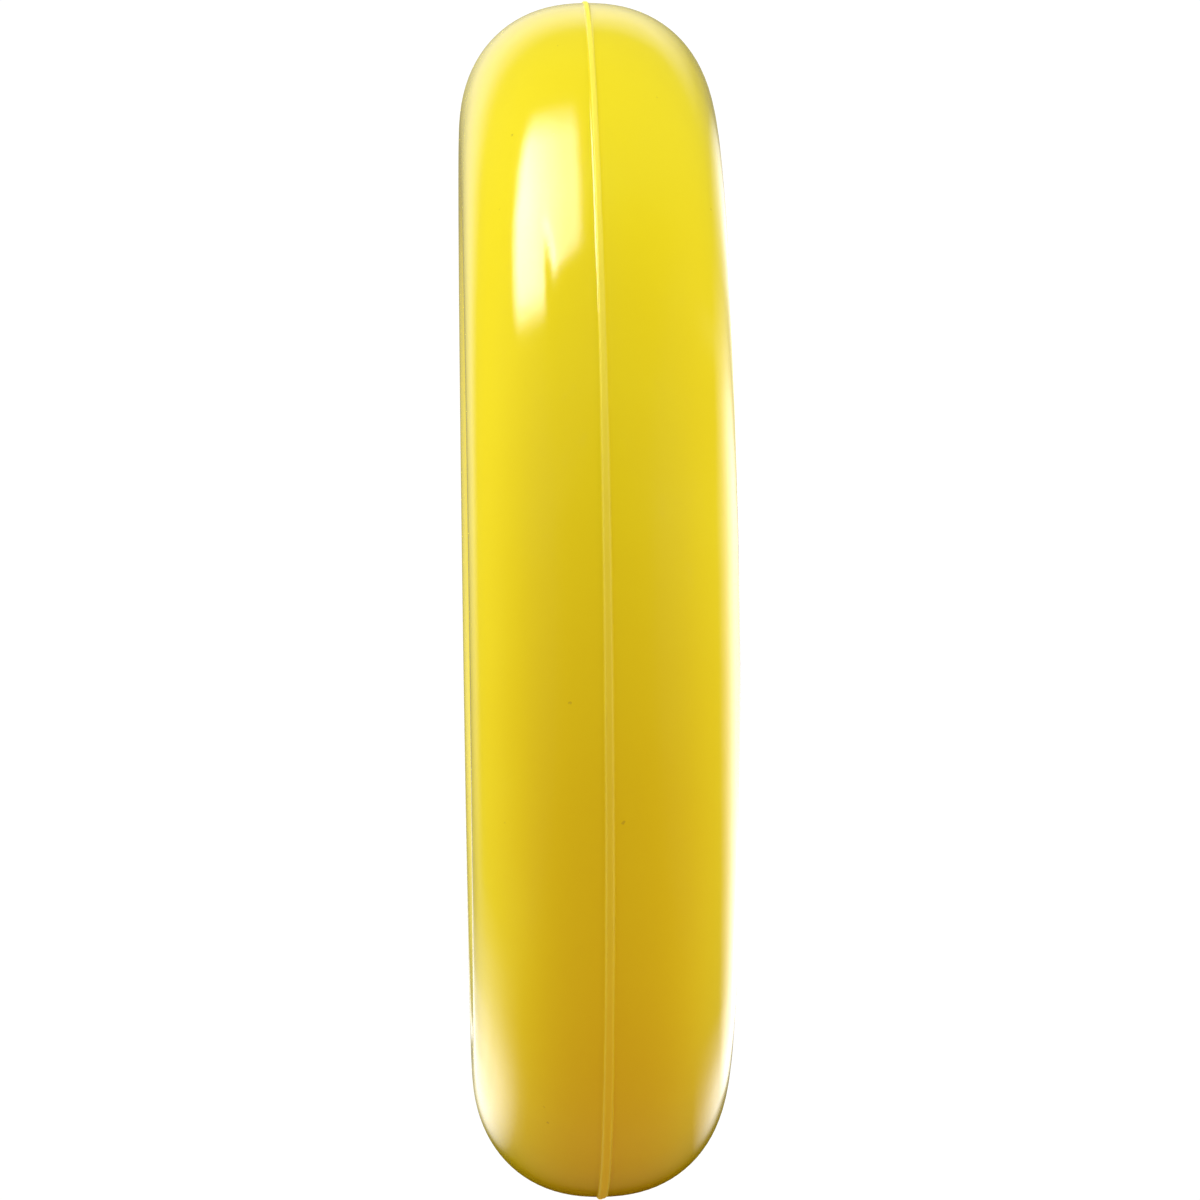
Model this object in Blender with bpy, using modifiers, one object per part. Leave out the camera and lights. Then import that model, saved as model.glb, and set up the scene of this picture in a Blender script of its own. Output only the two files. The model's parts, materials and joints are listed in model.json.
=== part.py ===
"""Low-profile curling stone: an air-filled bumper ring round a two-part core, with a fold-flat handle.

Metres, +Z up. The origin lies on the ice, under the middle of the stone. The ring, the core, the ballast
and the running band are turned about Z. The handle swings about an axis along X. It is folded flat towards
+Y in the dish of the upper core shell, and stands upright when it has turned by 90 degrees.
"""

import math

import bmesh
import bpy
from mathutils import Matrix, Vector

# ---------------------------------------------------------------- driving dimensions
# Bumper ring
OUTER_RADIUS = 0.140
RING_HALF_WIDTH = 0.0314
RING_HALF_HEIGHT = 0.0298
RIM_SQUARENESS = 2.25
RING_WALL = 0.003
RING_LIFT = 0.0018
RIB_WIDTH = 0.0018
RIB_HEIGHT = 0.0004

# Inflation valve
VALVE_ANGLE = math.radians(72)
VALVE_RADIUS = 0.004
VALVE_FLANGE_RADIUS = 0.006
VALVE_FLANGE_THICKNESS = 0.002
VALVE_TAIL = 0.006
VALVE_RECESS = 0.0008
NEEDLE_RADIUS = 0.0015
PLUG_HEAD_RADIUS = 0.003
PLUG_HEAD_THICKNESS = 0.0006
PLUG_LENGTH = 0.006

# Core shells
LIP_ANGLE = math.radians(55)
SHELL_WALL = 0.003
FLOOR_THICKNESS = 0.0036
DISH_FLOOR_THICKNESS = 0.003
DISH_FILLET = 0.004
GASKET_THICKNESS = 0.0008
GASKET_INSET = 0.0002

# Ballast
BALLAST_SIDE_GAP = 0.0048
BALLAST_BORE_GAP = 0.0015
BALLAST_PAD_THICKNESS = 0.0018

# Running band
BAND_RADIUS = 0.0625
BAND_WIDTH = 0.006
BAND_EDGE = 0.001
BAND_FLANGE_WIDTH = 0.0075
BAND_FLANGE_THICKNESS = 0.00166
BAND_SCREWS = 6

# Centre bolt
BOLT_RADIUS = 0.004
BOLT_HEAD_RADIUS = 0.0065
BOLT_HEAD_HEIGHT = 0.005
BOLT_ICE_CLEARANCE = 0.0018
WASHER_RADIUS = 0.0085
WASHER_THICKNESS = 0.0016
NUT_RADIUS = 0.0075
NUT_HEIGHT = 0.0065
RECESS_SIDE_GAP = 0.0035
SPACER_RADIUS = 0.008
BOLT_END = 0.001
CAP_WALL = 0.0016
CAP_CLEARANCE = 0.0015

# Handle
HANDLE_CORNER_ANGLE = math.radians(46)
HANDLE_SIDE_GAP = 0.0015
FOLD_DEPTH = 0.0044
GRIP_RADIUS = 0.012
GRIP_END_RADIUS = 0.010
GRIP_BAR_RADIUS = 0.006
ARM_HALF_WIDTH = 0.009
ARM_THICKNESS = 0.005
ARM_SCREW_RADIUS = 0.0025
ARM_SCREW_HEAD = 0.005
ARM_SCREW_DEPTH = 0.012
EAR_THICKNESS = 0.005
STOP_THICKNESS = 0.004
BASE_THICKNESS = 0.0035
BASE_EDGE = 0.001
BASE_SCREW_SHARE = 0.3
BASE_SCREW_INSET = 0.0067
REST_PAD_RADIUS = 0.005
REST_PAD_HEIGHT = 0.0036
REST_PAD_OFFSET = 0.018
PIVOT_BOLT_RADIUS = 0.003
PIVOT_HEAD_RADIUS = 0.0062
PIVOT_HEAD_HEIGHT = 0.0027
PIVOT_WASHER_RADIUS = 0.0075
PIVOT_WASHER_THICKNESS = 0.0012
PIVOT_NUT_RADIUS = 0.0058
PIVOT_NUT_HEIGHT = 0.005

# Small screws of the base and the band
SMALL_SCREW_RADIUS = 0.0015
SMALL_SCREW_HEAD = 0.0031
SMALL_HEAD_HEIGHT = 0.0014
SMALL_SCREW_GRIP = 0.0025

# Fits and fineness
CLEARANCE = 0.0004
GAP = 0.0003
EMBED = 0.001
TURN_STEPS = 48
PLATE_STEPS = 32
SMALL_STEPS = 16
SCREW_STEPS = 10
HOLE_SIDES = 12
RING_POINTS = 20
HOLLOW_POINTS = 12
SEAT_POINTS = 5

# ---------------------------------------------------------------- derived places
RING_RADIUS = OUTER_RADIUS - RING_HALF_WIDTH
MID_Z = RING_LIFT + RING_HALF_HEIGHT
CROWN_Z = MID_Z + RING_HALF_HEIGHT
PIVOT_Z = CROWN_Z - FOLD_DEPTH - GRIP_RADIUS
REST_PAD_TOP = PIVOT_Z - GRIP_RADIUS - GAP
BASE_TOP = REST_PAD_TOP - REST_PAD_HEIGHT - GAP
BASE_BOTTOM = BASE_TOP - BASE_THICKNESS
DISH_FLOOR = BASE_BOTTOM - GAP
DISH_UNDERSIDE = DISH_FLOOR - DISH_FLOOR_THICKNESS


def seat_point(angle, offset):
    """Point (radius, height) that lies offset outside the ring's section. Angle 0 faces the axis of the
    stone and positive angles go up."""
    radial = -math.cos(angle) / RING_HALF_WIDTH
    axial = math.sin(angle) / RING_HALF_HEIGHT
    length = math.hypot(radial, axial)
    radius = RING_RADIUS - RING_HALF_WIDTH * math.cos(angle) + offset * radial / length
    height = MID_Z + RING_HALF_HEIGHT * math.sin(angle) + offset * axial / length
    return radius, height


def section_point(angle, wall):
    """Point of the ring's section, set in by the wall. Angle 0 faces outwards. The seat side is an ellipse, and
    the rim side is a little squarer than an ellipse."""
    across = math.cos(angle)
    up = math.sin(angle)
    if across > 0:
        across = across ** (2 / RIM_SQUARENESS)
        up = math.copysign(abs(up) ** (2 / RIM_SQUARENESS), up)
    return RING_RADIUS + (RING_HALF_WIDTH - wall) * across, MID_Z + (RING_HALF_HEIGHT - wall) * up


def seat_angle(height, offset):
    """Angle at which the offset section reaches a height, found by halving the interval."""
    low, high = -math.pi / 2, math.pi / 2
    for _ in range(50):
        middle = (low + high) / 2
        if seat_point(middle, offset)[1] < height:
            low = middle
        else:
            high = middle
    return (low + high) / 2


def span(first, last, count):
    """Count evenly spaced values from first to last, both included."""
    return [first + (last - first) * i / (count - 1) for i in range(count)]


SEAT_RADIUS = seat_point(0, CLEARANCE)[0]
JOINT_RADIUS = SEAT_RADIUS - SHELL_WALL
SPIGOT_RADIUS = JOINT_RADIUS - CLEARANCE
DISH_RADIUS = SPIGOT_RADIUS - SHELL_WALL
GASKET_TOP = MID_Z - GAP
GASKET_BOTTOM = GASKET_TOP - GASKET_THICKNESS
LOWER_WALL_TOP = GASKET_BOTTOM - GAP
FLOOR_BOTTOM = seat_point(-LIP_ANGLE, CLEARANCE + SHELL_WALL)[1]
FLOOR_TOP = FLOOR_BOTTOM + FLOOR_THICKNESS

BOLT_HOLE = BOLT_RADIUS + GAP
HEAD_TOP = BOLT_ICE_CLEARANCE + BOLT_HEAD_HEIGHT
RECESS_TOP = HEAD_TOP + GAP + WASHER_THICKNESS + GAP
RECESS_RADIUS = WASHER_RADIUS + RECESS_SIDE_GAP
BOSS_TOP = RECESS_TOP + FLOOR_THICKNESS
BOSS_RADIUS = RECESS_RADIUS + FLOOR_THICKNESS

BALLAST_RADIUS = JOINT_RADIUS - BALLAST_SIDE_GAP
BALLAST_BORE = BOSS_RADIUS + BALLAST_BORE_GAP
BALLAST_SPACE = DISH_UNDERSIDE - FLOOR_TOP - BALLAST_PAD_THICKNESS - 4 * GAP
PLATE_THICKNESS = BALLAST_SPACE / 2

HANDLE_CIRCLE = DISH_RADIUS - HANDLE_SIDE_GAP
ARM_OUT = HANDLE_CIRCLE * math.cos(HANDLE_CORNER_ANGLE)
ARM_IN = ARM_OUT - ARM_THICKNESS
ARM_LENGTH = HANDLE_CIRCLE * math.sin(HANDLE_CORNER_ANGLE) - ARM_HALF_WIDTH
EAR_OUT = ARM_IN - PIVOT_WASHER_THICKNESS - 2 * GAP
EAR_IN = EAR_OUT - EAR_THICKNESS
EAR_TOP = PIVOT_Z + ARM_HALF_WIDTH
STOP_FACE = -ARM_HALF_WIDTH - GAP
STOP_BACK = STOP_FACE - STOP_THICKNESS
STOP_REACH = math.hypot(ARM_OUT, STOP_BACK)
PAD_REACH = math.hypot(REST_PAD_OFFSET, ARM_LENGTH) + REST_PAD_RADIUS
BASE_RADIUS = max(STOP_REACH, PAD_REACH) + BASE_EDGE
BASE_SCREW_CIRCLE = BASE_RADIUS - BASE_SCREW_INSET

# The base's screws take a named share of the free arc between the stop's back and the rest pad.
PAD_CIRCLE = math.hypot(REST_PAD_OFFSET, ARM_LENGTH)
PAD_SPACE = REST_PAD_RADIUS + SMALL_SCREW_HEAD
PAD_COSINE = (BASE_SCREW_CIRCLE**2 + PAD_CIRCLE**2 - PAD_SPACE**2) / (2 * BASE_SCREW_CIRCLE * PAD_CIRCLE)
STOP_LIMIT = math.asin((SMALL_SCREW_HEAD - STOP_BACK) / BASE_SCREW_CIRCLE)
PAD_LIMIT = math.atan2(ARM_LENGTH, REST_PAD_OFFSET) - math.acos(min(1.0, PAD_COSINE))
BASE_SCREW_ANGLE = STOP_LIMIT + BASE_SCREW_SHARE * (PAD_LIMIT - STOP_LIMIT)
PIVOT_HOLE = PIVOT_BOLT_RADIUS + GAP
ARM_SCREW_HOLE = ARM_SCREW_RADIUS + GAP
SMALL_HOLE = SMALL_SCREW_RADIUS + GAP
BAND_TOP = FLOOR_BOTTOM - GAP
BAND_INNER = BAND_RADIUS - BAND_WIDTH / 2
BAND_SCREW_CIRCLE = BAND_INNER - BAND_FLANGE_WIDTH / 2

# ---------------------------------------------------------------- collections and materials
for leftover in list(bpy.data.objects):
    bpy.data.objects.remove(leftover)

parts = bpy.data.collections.new("curling_stone")
cutters = bpy.data.collections.new("cutters")
bpy.context.scene.collection.children.link(parts)
bpy.context.scene.collection.children.link(cutters)


def material(name, colour, roughness, metallic=0.0):
    made = bpy.data.materials.new(name)
    made.use_nodes = True
    shader = made.node_tree.nodes["Principled BSDF"]
    shader.inputs["Base Color"].default_value = (*colour, 1.0)
    shader.inputs["Roughness"].default_value = roughness
    shader.inputs["Metallic"].default_value = metallic
    return made


RING_YELLOW = material("ring_yellow", (0.84, 0.66, 0.02), 0.16)
CORE_GREY = material("core_grey", (0.20, 0.21, 0.22), 0.5)
DARK_RUBBER = material("dark_rubber", (0.03, 0.03, 0.032), 0.75)
FOAM_GREY = material("foam_grey", (0.12, 0.12, 0.12), 0.95)
BALLAST_STEEL = material("ballast_steel", (0.42, 0.42, 0.43), 0.4, 1.0)
BRIGHT_STEEL = material("bright_steel", (0.62, 0.62, 0.64), 0.28, 1.0)
BAND_STEEL = material("band_steel", (0.68, 0.69, 0.71), 0.15, 1.0)
HANDLE_YELLOW = material("handle_yellow", (0.84, 0.66, 0.02), 0.3)


# ---------------------------------------------------------------- shape helpers
def add_object(name, data, finish, place=(0, 0, 0), turn=(0, 0, 0)):
    """Puts mesh or curve data into the parts collection with its material."""
    made = bpy.data.objects.new(name, data)
    made.location = place
    made.rotation_euler = turn
    made.data.materials.append(finish)
    parts.objects.link(made)
    return made


def turned(name, loops, finish, steps, closed=True, place=(0, 0, 0), turn=(0, 0, 0)):
    """Turns outlines of (radius, height) points about the local Z axis. An open outline starts and ends on
    the axis. Each outline runs down its outer side."""
    mesh = bpy.data.meshes.new(name)
    points = []
    edges = []
    for loop in loops:
        start = len(points)
        count = len(loop)
        points += [(radius, 0, height) for radius, height in loop]
        edges += [(start + i, start + i + 1) for i in range(count - 1)]
        if closed:
            edges.append((start + count - 1, start))
    mesh.from_pydata(points, edges, [])
    made = add_object(name, mesh, finish, place, turn)
    screw = made.modifiers.new("turn", "SCREW")
    screw.axis = "Z"
    screw.angle = math.tau
    screw.steps = steps
    screw.render_steps = steps
    screw.use_merge_vertices = True
    screw.merge_threshold = 0.00001
    screw.use_smooth_shade = True
    return made


def prism(name, radius, height, sides):
    """Mesh of an upright prism or cylinder, centred on its own origin."""
    mesh = bpy.data.meshes.new(name)
    shape = bmesh.new()
    bmesh.ops.create_cone(
        shape, cap_ends=True, segments=sides, radius1=radius, radius2=radius, depth=height
    )
    shape.to_mesh(mesh)
    shape.free()
    return mesh


def combine(target, tool, operation):
    boolean = target.modifiers.new(operation.lower(), "BOOLEAN")
    boolean.operation = operation
    boolean.solver = "EXACT"
    boolean.object = tool


def drill(target, radius, length, place, turn=(0, 0, 0), sides=HOLE_SIDES):
    """Cuts a round hole, or a socket with few sides, centred on place and running along the turned Z axis."""
    cutter = bpy.data.objects.new(target.name + "_cutter", prism("cutter", radius, length, sides))
    cutter.matrix_world = target.matrix_world @ Matrix.LocRotScale(Vector(place), turn_of(turn), None)
    cutter.hide_render = True
    cutter.display_type = "WIRE"
    cutters.objects.link(cutter)
    combine(target, cutter, "DIFFERENCE")
    return cutter


def turn_of(angles):
    return Matrix.Rotation(angles[2], 3, "Z") @ Matrix.Rotation(angles[1], 3, "Y") @ Matrix.Rotation(
        angles[0], 3, "X"
    )


def arc(centre, radius, first, last, count):
    """Points on an arc about centre, from the first angle to the last, anticlockwise from +X if it grows."""
    return [
        (centre[0] + radius * math.cos(a), centre[1] + radius * math.sin(a))
        for a in span(first, last, count)
    ]


def plate(name, outlines, thickness, finish):
    """A flat plate in the local XY plane. The first outline is its edge and the others are holes."""
    curve = bpy.data.curves.new(name, "CURVE")
    curve.dimensions = "2D"
    curve.fill_mode = "BOTH"
    curve.extrude = thickness / 2
    for outline in outlines:
        spline = curve.splines.new("POLY")
        spline.points.add(len(outline) - 1)
        spline.use_cyclic_u = True
        for point, (x, y) in zip(spline.points, outline):
            point.co = (x, y, 0, 1)
    source = bpy.data.objects.new(name + "_outline", curve)
    cutters.objects.link(source)
    bpy.context.view_layer.update()
    evaluated = source.evaluated_get(bpy.context.evaluated_depsgraph_get())
    mesh = bpy.data.meshes.new_from_object(evaluated)
    bpy.data.objects.remove(source)
    shape = bmesh.new()
    shape.from_mesh(mesh)
    bmesh.ops.remove_doubles(shape, verts=shape.verts, dist=0.00001)
    shape.to_mesh(mesh)
    shape.free()
    mesh.materials.clear()
    return add_object(name, mesh, finish)


def rectangle(inner, outer, bottom, top):
    """Outline of a ring with a rectangular section."""
    return [(outer, top), (outer, bottom), (inner, bottom), (inner, top)]


def socket_screw(name, finish, head, shank, length, place, turn, steps):
    """A round-headed screw with a hexagon socket. Its origin lies under its head and its shank runs down
    the local Z axis. head is (radius, height)."""
    head_radius, head_height = head
    chamfer = shank * 0.25
    outline = [
        (0, head_height),
        (head_radius * 0.8, head_height),
        (head_radius, head_height * 0.6),
        (head_radius, 0),
        (shank, 0),
        (shank, chamfer - length),
        (shank - chamfer, -length),
        (0, -length),
    ]
    made = turned(name, [outline], finish, steps, closed=False, place=place, turn=turn)
    made.matrix_basis = Matrix.LocRotScale(Vector(place), turn_of(turn), None)
    bpy.context.view_layer.update()
    drill(made, shank * 0.75, head_height * 1.2, (0, 0, head_height), sides=6)
    return made


def hexagon_nut(name, finish, radius, height, bore, place, turn):
    """A hexagon nut centred on place, with its bore along the turned Z axis."""
    made = add_object(name, prism(name, radius, height, 6), finish, place)
    made.matrix_basis = Matrix.LocRotScale(Vector(place), turn_of(turn), None)
    bpy.context.view_layer.update()
    drill(made, bore, height * 1.5, (0, 0, 0), sides=SMALL_STEPS)
    return made


# ---------------------------------------------------------------- bumper ring and valve
def ring_outline():
    """The ring's section, clockwise from just below the seam rib, with the rib as its last points."""
    rib_angle = math.asin((RIB_WIDTH / 2 / RING_HALF_HEIGHT) ** (RIM_SQUARENESS / 2))
    outline = [section_point(angle, 0) for angle in span(-rib_angle, rib_angle - math.tau, RING_POINTS + 1)]
    rib_radius = OUTER_RADIUS + RIB_HEIGHT
    rib_top = MID_Z + RIB_WIDTH / 4
    rib_bottom = MID_Z - RIB_WIDTH / 4
    return outline + [(rib_radius, rib_top), (rib_radius, rib_bottom)]


def hollow_outline():
    """The air space of the ring, run the other way round because its faces look into the hollow."""
    angles = span(0, math.tau * (1 - 1 / HOLLOW_POINTS), HOLLOW_POINTS)
    return [section_point(angle, RING_WALL) for angle in angles]


bumper_ring = turned("bumper_ring", [ring_outline(), hollow_outline()], RING_YELLOW, TURN_STEPS)

# The valve looks down and inwards, square to the ring's underside, on the +Y side.
valve_face = seat_point(-VALVE_ANGLE, 0)
valve_out = Vector(seat_point(-VALVE_ANGLE, 1)) - Vector(valve_face)
valve_place = Vector((0, valve_face[0], valve_face[1]))
valve_axis = Vector((0, valve_out[0], valve_out[1]))
VALVE_TILT = math.atan2(-valve_axis.y, valve_axis.z)
VALVE_TURN = (VALVE_TILT, 0, 0)
# The hollow is faceted, so its flat sides stand inwards of the wall's true thickness by this much.
FACET_RISE = (RING_HALF_HEIGHT - RING_WALL) * (1 - math.cos(math.pi / HOLLOW_POINTS))
VALVE_DEPTH = RING_WALL + FACET_RISE + CLEARANCE

drill(
    bumper_ring,
    VALVE_RADIUS + GAP,
    4 * RING_WALL,
    valve_place,
    VALVE_TURN,
    SMALL_STEPS,
)
turned(
    "valve_body",
    [
        [
            (VALVE_RADIUS, -VALVE_RECESS),
            (VALVE_RADIUS, -VALVE_DEPTH),
            (VALVE_FLANGE_RADIUS, -VALVE_DEPTH),
            (VALVE_FLANGE_RADIUS, -VALVE_DEPTH - VALVE_FLANGE_THICKNESS),
            (VALVE_RADIUS, -VALVE_DEPTH - VALVE_FLANGE_THICKNESS),
            (NEEDLE_RADIUS * 1.5, -VALVE_DEPTH - VALVE_TAIL),
            (NEEDLE_RADIUS, -VALVE_DEPTH - VALVE_TAIL),
            (NEEDLE_RADIUS, -VALVE_RECESS),
        ]
    ],
    DARK_RUBBER,
    SMALL_STEPS,
    place=valve_place,
    turn=VALVE_TURN,
)
plug_seat = -VALVE_RECESS + GAP
turned(
    "valve_plug",
    [
        [
            (0, plug_seat + PLUG_HEAD_THICKNESS),
            (PLUG_HEAD_RADIUS * 0.8, plug_seat + PLUG_HEAD_THICKNESS),
            (PLUG_HEAD_RADIUS, plug_seat),
            (NEEDLE_RADIUS - GAP, plug_seat),
            (NEEDLE_RADIUS - GAP, plug_seat - PLUG_LENGTH),
            (0, plug_seat - PLUG_LENGTH),
        ]
    ],
    RING_YELLOW,
    SMALL_STEPS,
    closed=False,
    place=valve_place,
    turn=VALVE_TURN,
)


# ---------------------------------------------------------------- core shells and gasket
def wall_at(angle):
    """Wall of the upper shell, which grows from the lip to the joint, where its spigot starts."""
    joint_wall = 2 * SHELL_WALL + CLEARANCE
    return SHELL_WALL + (joint_wall - SHELL_WALL) * (1 - angle / LIP_ANGLE) ** 2


def lip(sign):
    """Half round that closes the shell's edge, from the seat side to the inner side for the lower lip
    (sign -1), and from the inner side to the seat side for the upper one (sign 1)."""
    seat = Vector(seat_point(sign * LIP_ANGLE, CLEARANCE))
    inner = Vector(seat_point(sign * LIP_ANGLE, CLEARANCE + SHELL_WALL))
    middle = (seat + inner) / 2
    across = (seat - inner) / 2
    along = Vector((sign * across.y, -sign * across.x))
    turns = [math.radians(a) for a in (50, 130)]
    points = [middle + across * math.cos(a) + along * math.sin(a) for a in turns]
    if sign > 0:
        points.reverse()
    return [tuple(point) for point in points]


def core_upper_outline():
    seat = [seat_point(a, CLEARANCE) for a in span(LIP_ANGLE, 0, SEAT_POINTS)]
    below = arc(
        (SPIGOT_RADIUS - DISH_FILLET, DISH_UNDERSIDE + DISH_FILLET),
        DISH_FILLET,
        0,
        -math.pi / 2,
        4,
    )
    floor = [(BOLT_HOLE, DISH_UNDERSIDE), (BOLT_HOLE, DISH_FLOOR)]
    above = arc(
        (DISH_RADIUS - DISH_FILLET, DISH_FLOOR + DISH_FILLET), DISH_FILLET, -math.pi / 2, 0, 4
    )
    dish = [seat_point(a, CLEARANCE + wall_at(a)) for a in span(0, LIP_ANGLE, SEAT_POINTS)]
    return seat + [(SPIGOT_RADIUS, MID_Z)] + below + floor + above + dish + lip(1)


def core_lower_outline():
    top_angle = seat_angle(LOWER_WALL_TOP, CLEARANCE)
    seat = [seat_point(a, CLEARANCE) for a in span(top_angle, -LIP_ANGLE, SEAT_POINTS)]
    inner_offset = CLEARANCE + SHELL_WALL
    foot_angle = seat_angle(FLOOR_TOP, inner_offset)
    wall_angle = seat_angle(LOWER_WALL_TOP, inner_offset)
    wall = [seat_point(a, inner_offset) for a in span(foot_angle, wall_angle, SEAT_POINTS)]
    centre = [
        (RECESS_RADIUS, FLOOR_BOTTOM),
        (RECESS_RADIUS, RECESS_TOP),
        (BOLT_HOLE, RECESS_TOP),
        (BOLT_HOLE, BOSS_TOP),
        (BOSS_RADIUS, BOSS_TOP),
        (BOSS_RADIUS, FLOOR_TOP),
    ]
    edge = [seat_point(-LIP_ANGLE, inner_offset)]
    return seat + lip(-1) + edge + centre + wall


core_upper = turned("core_upper", [core_upper_outline()], CORE_GREY, TURN_STEPS)
core_lower = turned("core_lower", [core_lower_outline()], CORE_GREY, TURN_STEPS)
turned(
    "shell_gasket",
    [
        rectangle(
            JOINT_RADIUS + GASKET_INSET, SEAT_RADIUS - GASKET_INSET, GASKET_BOTTOM, GASKET_TOP
        )
    ],
    DARK_RUBBER,
    TURN_STEPS,
)

# ---------------------------------------------------------------- ballast
plate_floor = FLOOR_TOP + GAP
for name in ("ballast_plate_lower", "ballast_plate_upper"):
    turned(
        name,
        [rectangle(BALLAST_BORE, BALLAST_RADIUS, plate_floor, plate_floor + PLATE_THICKNESS)],
        BALLAST_STEEL,
        PLATE_STEPS,
    )
    plate_floor += PLATE_THICKNESS + GAP
turned(
    "ballast_pad",
    [rectangle(BALLAST_BORE, BALLAST_RADIUS, plate_floor, plate_floor + BALLAST_PAD_THICKNESS)],
    FOAM_GREY,
    PLATE_STEPS,
)

# ---------------------------------------------------------------- running band and its screws
band_outer = BAND_RADIUS + BAND_WIDTH / 2
flange_bottom = BAND_TOP - BAND_FLANGE_THICKNESS
band_outline = [(band_outer, BAND_TOP)]
band_outline += arc((band_outer - BAND_EDGE, BAND_EDGE), BAND_EDGE, 0, -math.pi / 2, 3)
band_outline += arc((BAND_INNER + BAND_EDGE, BAND_EDGE), BAND_EDGE, -math.pi / 2, -math.pi, 3)
band_outline += [
    (BAND_INNER, flange_bottom),
    (BAND_INNER - BAND_FLANGE_WIDTH, flange_bottom),
    (BAND_INNER - BAND_FLANGE_WIDTH, BAND_TOP),
]
running_band = turned("running_band", [band_outline], BAND_STEEL, TURN_STEPS)

band_screw_length = BAND_FLANGE_THICKNESS + 2 * GAP + SMALL_SCREW_GRIP
for index in range(BAND_SCREWS):
    angle = math.tau * (index + 0.5) / BAND_SCREWS
    x = BAND_SCREW_CIRCLE * math.cos(angle)
    y = BAND_SCREW_CIRCLE * math.sin(angle)
    hole_top = flange_bottom - GAP + band_screw_length + GAP
    drill(running_band, SMALL_HOLE, 4 * BAND_FLANGE_THICKNESS, (x, y, BAND_TOP))
    drill(core_lower, SMALL_HOLE, 2 * (hole_top - FLOOR_BOTTOM), (x, y, FLOOR_BOTTOM))
    socket_screw(
        f"band_screw_{index + 1}",
        BRIGHT_STEEL,
        (SMALL_SCREW_HEAD, SMALL_HEAD_HEIGHT),
        SMALL_SCREW_RADIUS,
        band_screw_length,
        (x, y, flange_bottom - GAP),
        (math.pi, 0, 0),
        SCREW_STEPS,
    )

# ---------------------------------------------------------------- centre bolt, spacer, nut and cap
turned(
    "spacer_tube",
    [rectangle(BOLT_HOLE, SPACER_RADIUS, BOSS_TOP + GAP, DISH_UNDERSIDE - GAP)],
    BRIGHT_STEEL,
    SMALL_STEPS,
)
turned(
    "lower_washer",
    [rectangle(BOLT_HOLE, WASHER_RADIUS, HEAD_TOP + GAP, HEAD_TOP + GAP + WASHER_THICKNESS)],
    BRIGHT_STEEL,
    SMALL_STEPS,
)
washer_bottom = BASE_TOP + GAP
nut_bottom = washer_bottom + WASHER_THICKNESS + GAP
bolt_top = nut_bottom + NUT_HEIGHT + BOLT_END
turned(
    "upper_washer",
    [rectangle(BOLT_HOLE, WASHER_RADIUS, washer_bottom, washer_bottom + WASHER_THICKNESS)],
    BRIGHT_STEEL,
    SMALL_STEPS,
)
socket_screw(
    "centre_bolt",
    BRIGHT_STEEL,
    (BOLT_HEAD_RADIUS, BOLT_HEAD_HEIGHT),
    BOLT_RADIUS,
    bolt_top - HEAD_TOP,
    (0, 0, HEAD_TOP),
    (math.pi, 0, 0),
    SMALL_STEPS,
)
hexagon_nut(
    "centre_nut",
    BRIGHT_STEEL,
    NUT_RADIUS,
    NUT_HEIGHT,
    BOLT_HOLE,
    (0, 0, nut_bottom + NUT_HEIGHT / 2),
    (0, 0, 0),
)
cap_inner = WASHER_RADIUS + CAP_CLEARANCE
cap_outer = cap_inner + CAP_WALL
cap_ceiling = bolt_top + CAP_CLEARANCE
cap_rise = CAP_WALL * 2
turned(
    "centre_cap",
    [
        [(0, cap_ceiling + cap_rise)]
        + [
            (cap_outer * math.sin(a), cap_ceiling + cap_rise * (math.cos(a) * 2 - 1))
            for a in span(math.radians(25), math.pi / 2, 5)
        ]
        + [
            (cap_outer, BASE_TOP + GAP),
            (cap_inner, BASE_TOP + GAP),
            (cap_inner, cap_ceiling - cap_rise),
            (cap_inner * 0.7, cap_ceiling),
            (0, cap_ceiling),
        ]
    ],
    HANDLE_YELLOW,
    SMALL_STEPS,
    closed=False,
)

# ---------------------------------------------------------------- handle base, its screws and the rest pads
handle_base = turned(
    "handle_base",
    [rectangle(BOLT_HOLE, BASE_RADIUS, BASE_BOTTOM, BASE_TOP)],
    CORE_GREY,
    PLATE_STEPS,
)
bracket_bottom = BASE_TOP - EMBED
bracket_height = EAR_TOP - bracket_bottom
for side in (-1, 1):
    # An ear with a stop across its back, seen from above as an L.
    outline = [
        (side * EAR_IN, STOP_BACK),
        (side * ARM_OUT, STOP_BACK),
        (side * ARM_OUT, STOP_FACE),
        (side * EAR_OUT, STOP_FACE),
        (side * EAR_OUT, ARM_HALF_WIDTH),
        (side * EAR_IN, ARM_HALF_WIDTH),
    ]
    bracket = plate("bracket", [outline], bracket_height, CORE_GREY)
    bracket.location.z = bracket_bottom + bracket_height / 2
    parts.objects.unlink(bracket)
    cutters.objects.link(bracket)
    bracket.hide_render = True
    bracket.display_type = "WIRE"
    combine(handle_base, bracket, "UNION")
drill(
    handle_base,
    PIVOT_HOLE,
    2 * ARM_OUT + 2 * ARM_THICKNESS,
    (0, 0, PIVOT_Z),
    (0, math.pi / 2, 0),
    SMALL_STEPS,
)

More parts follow.
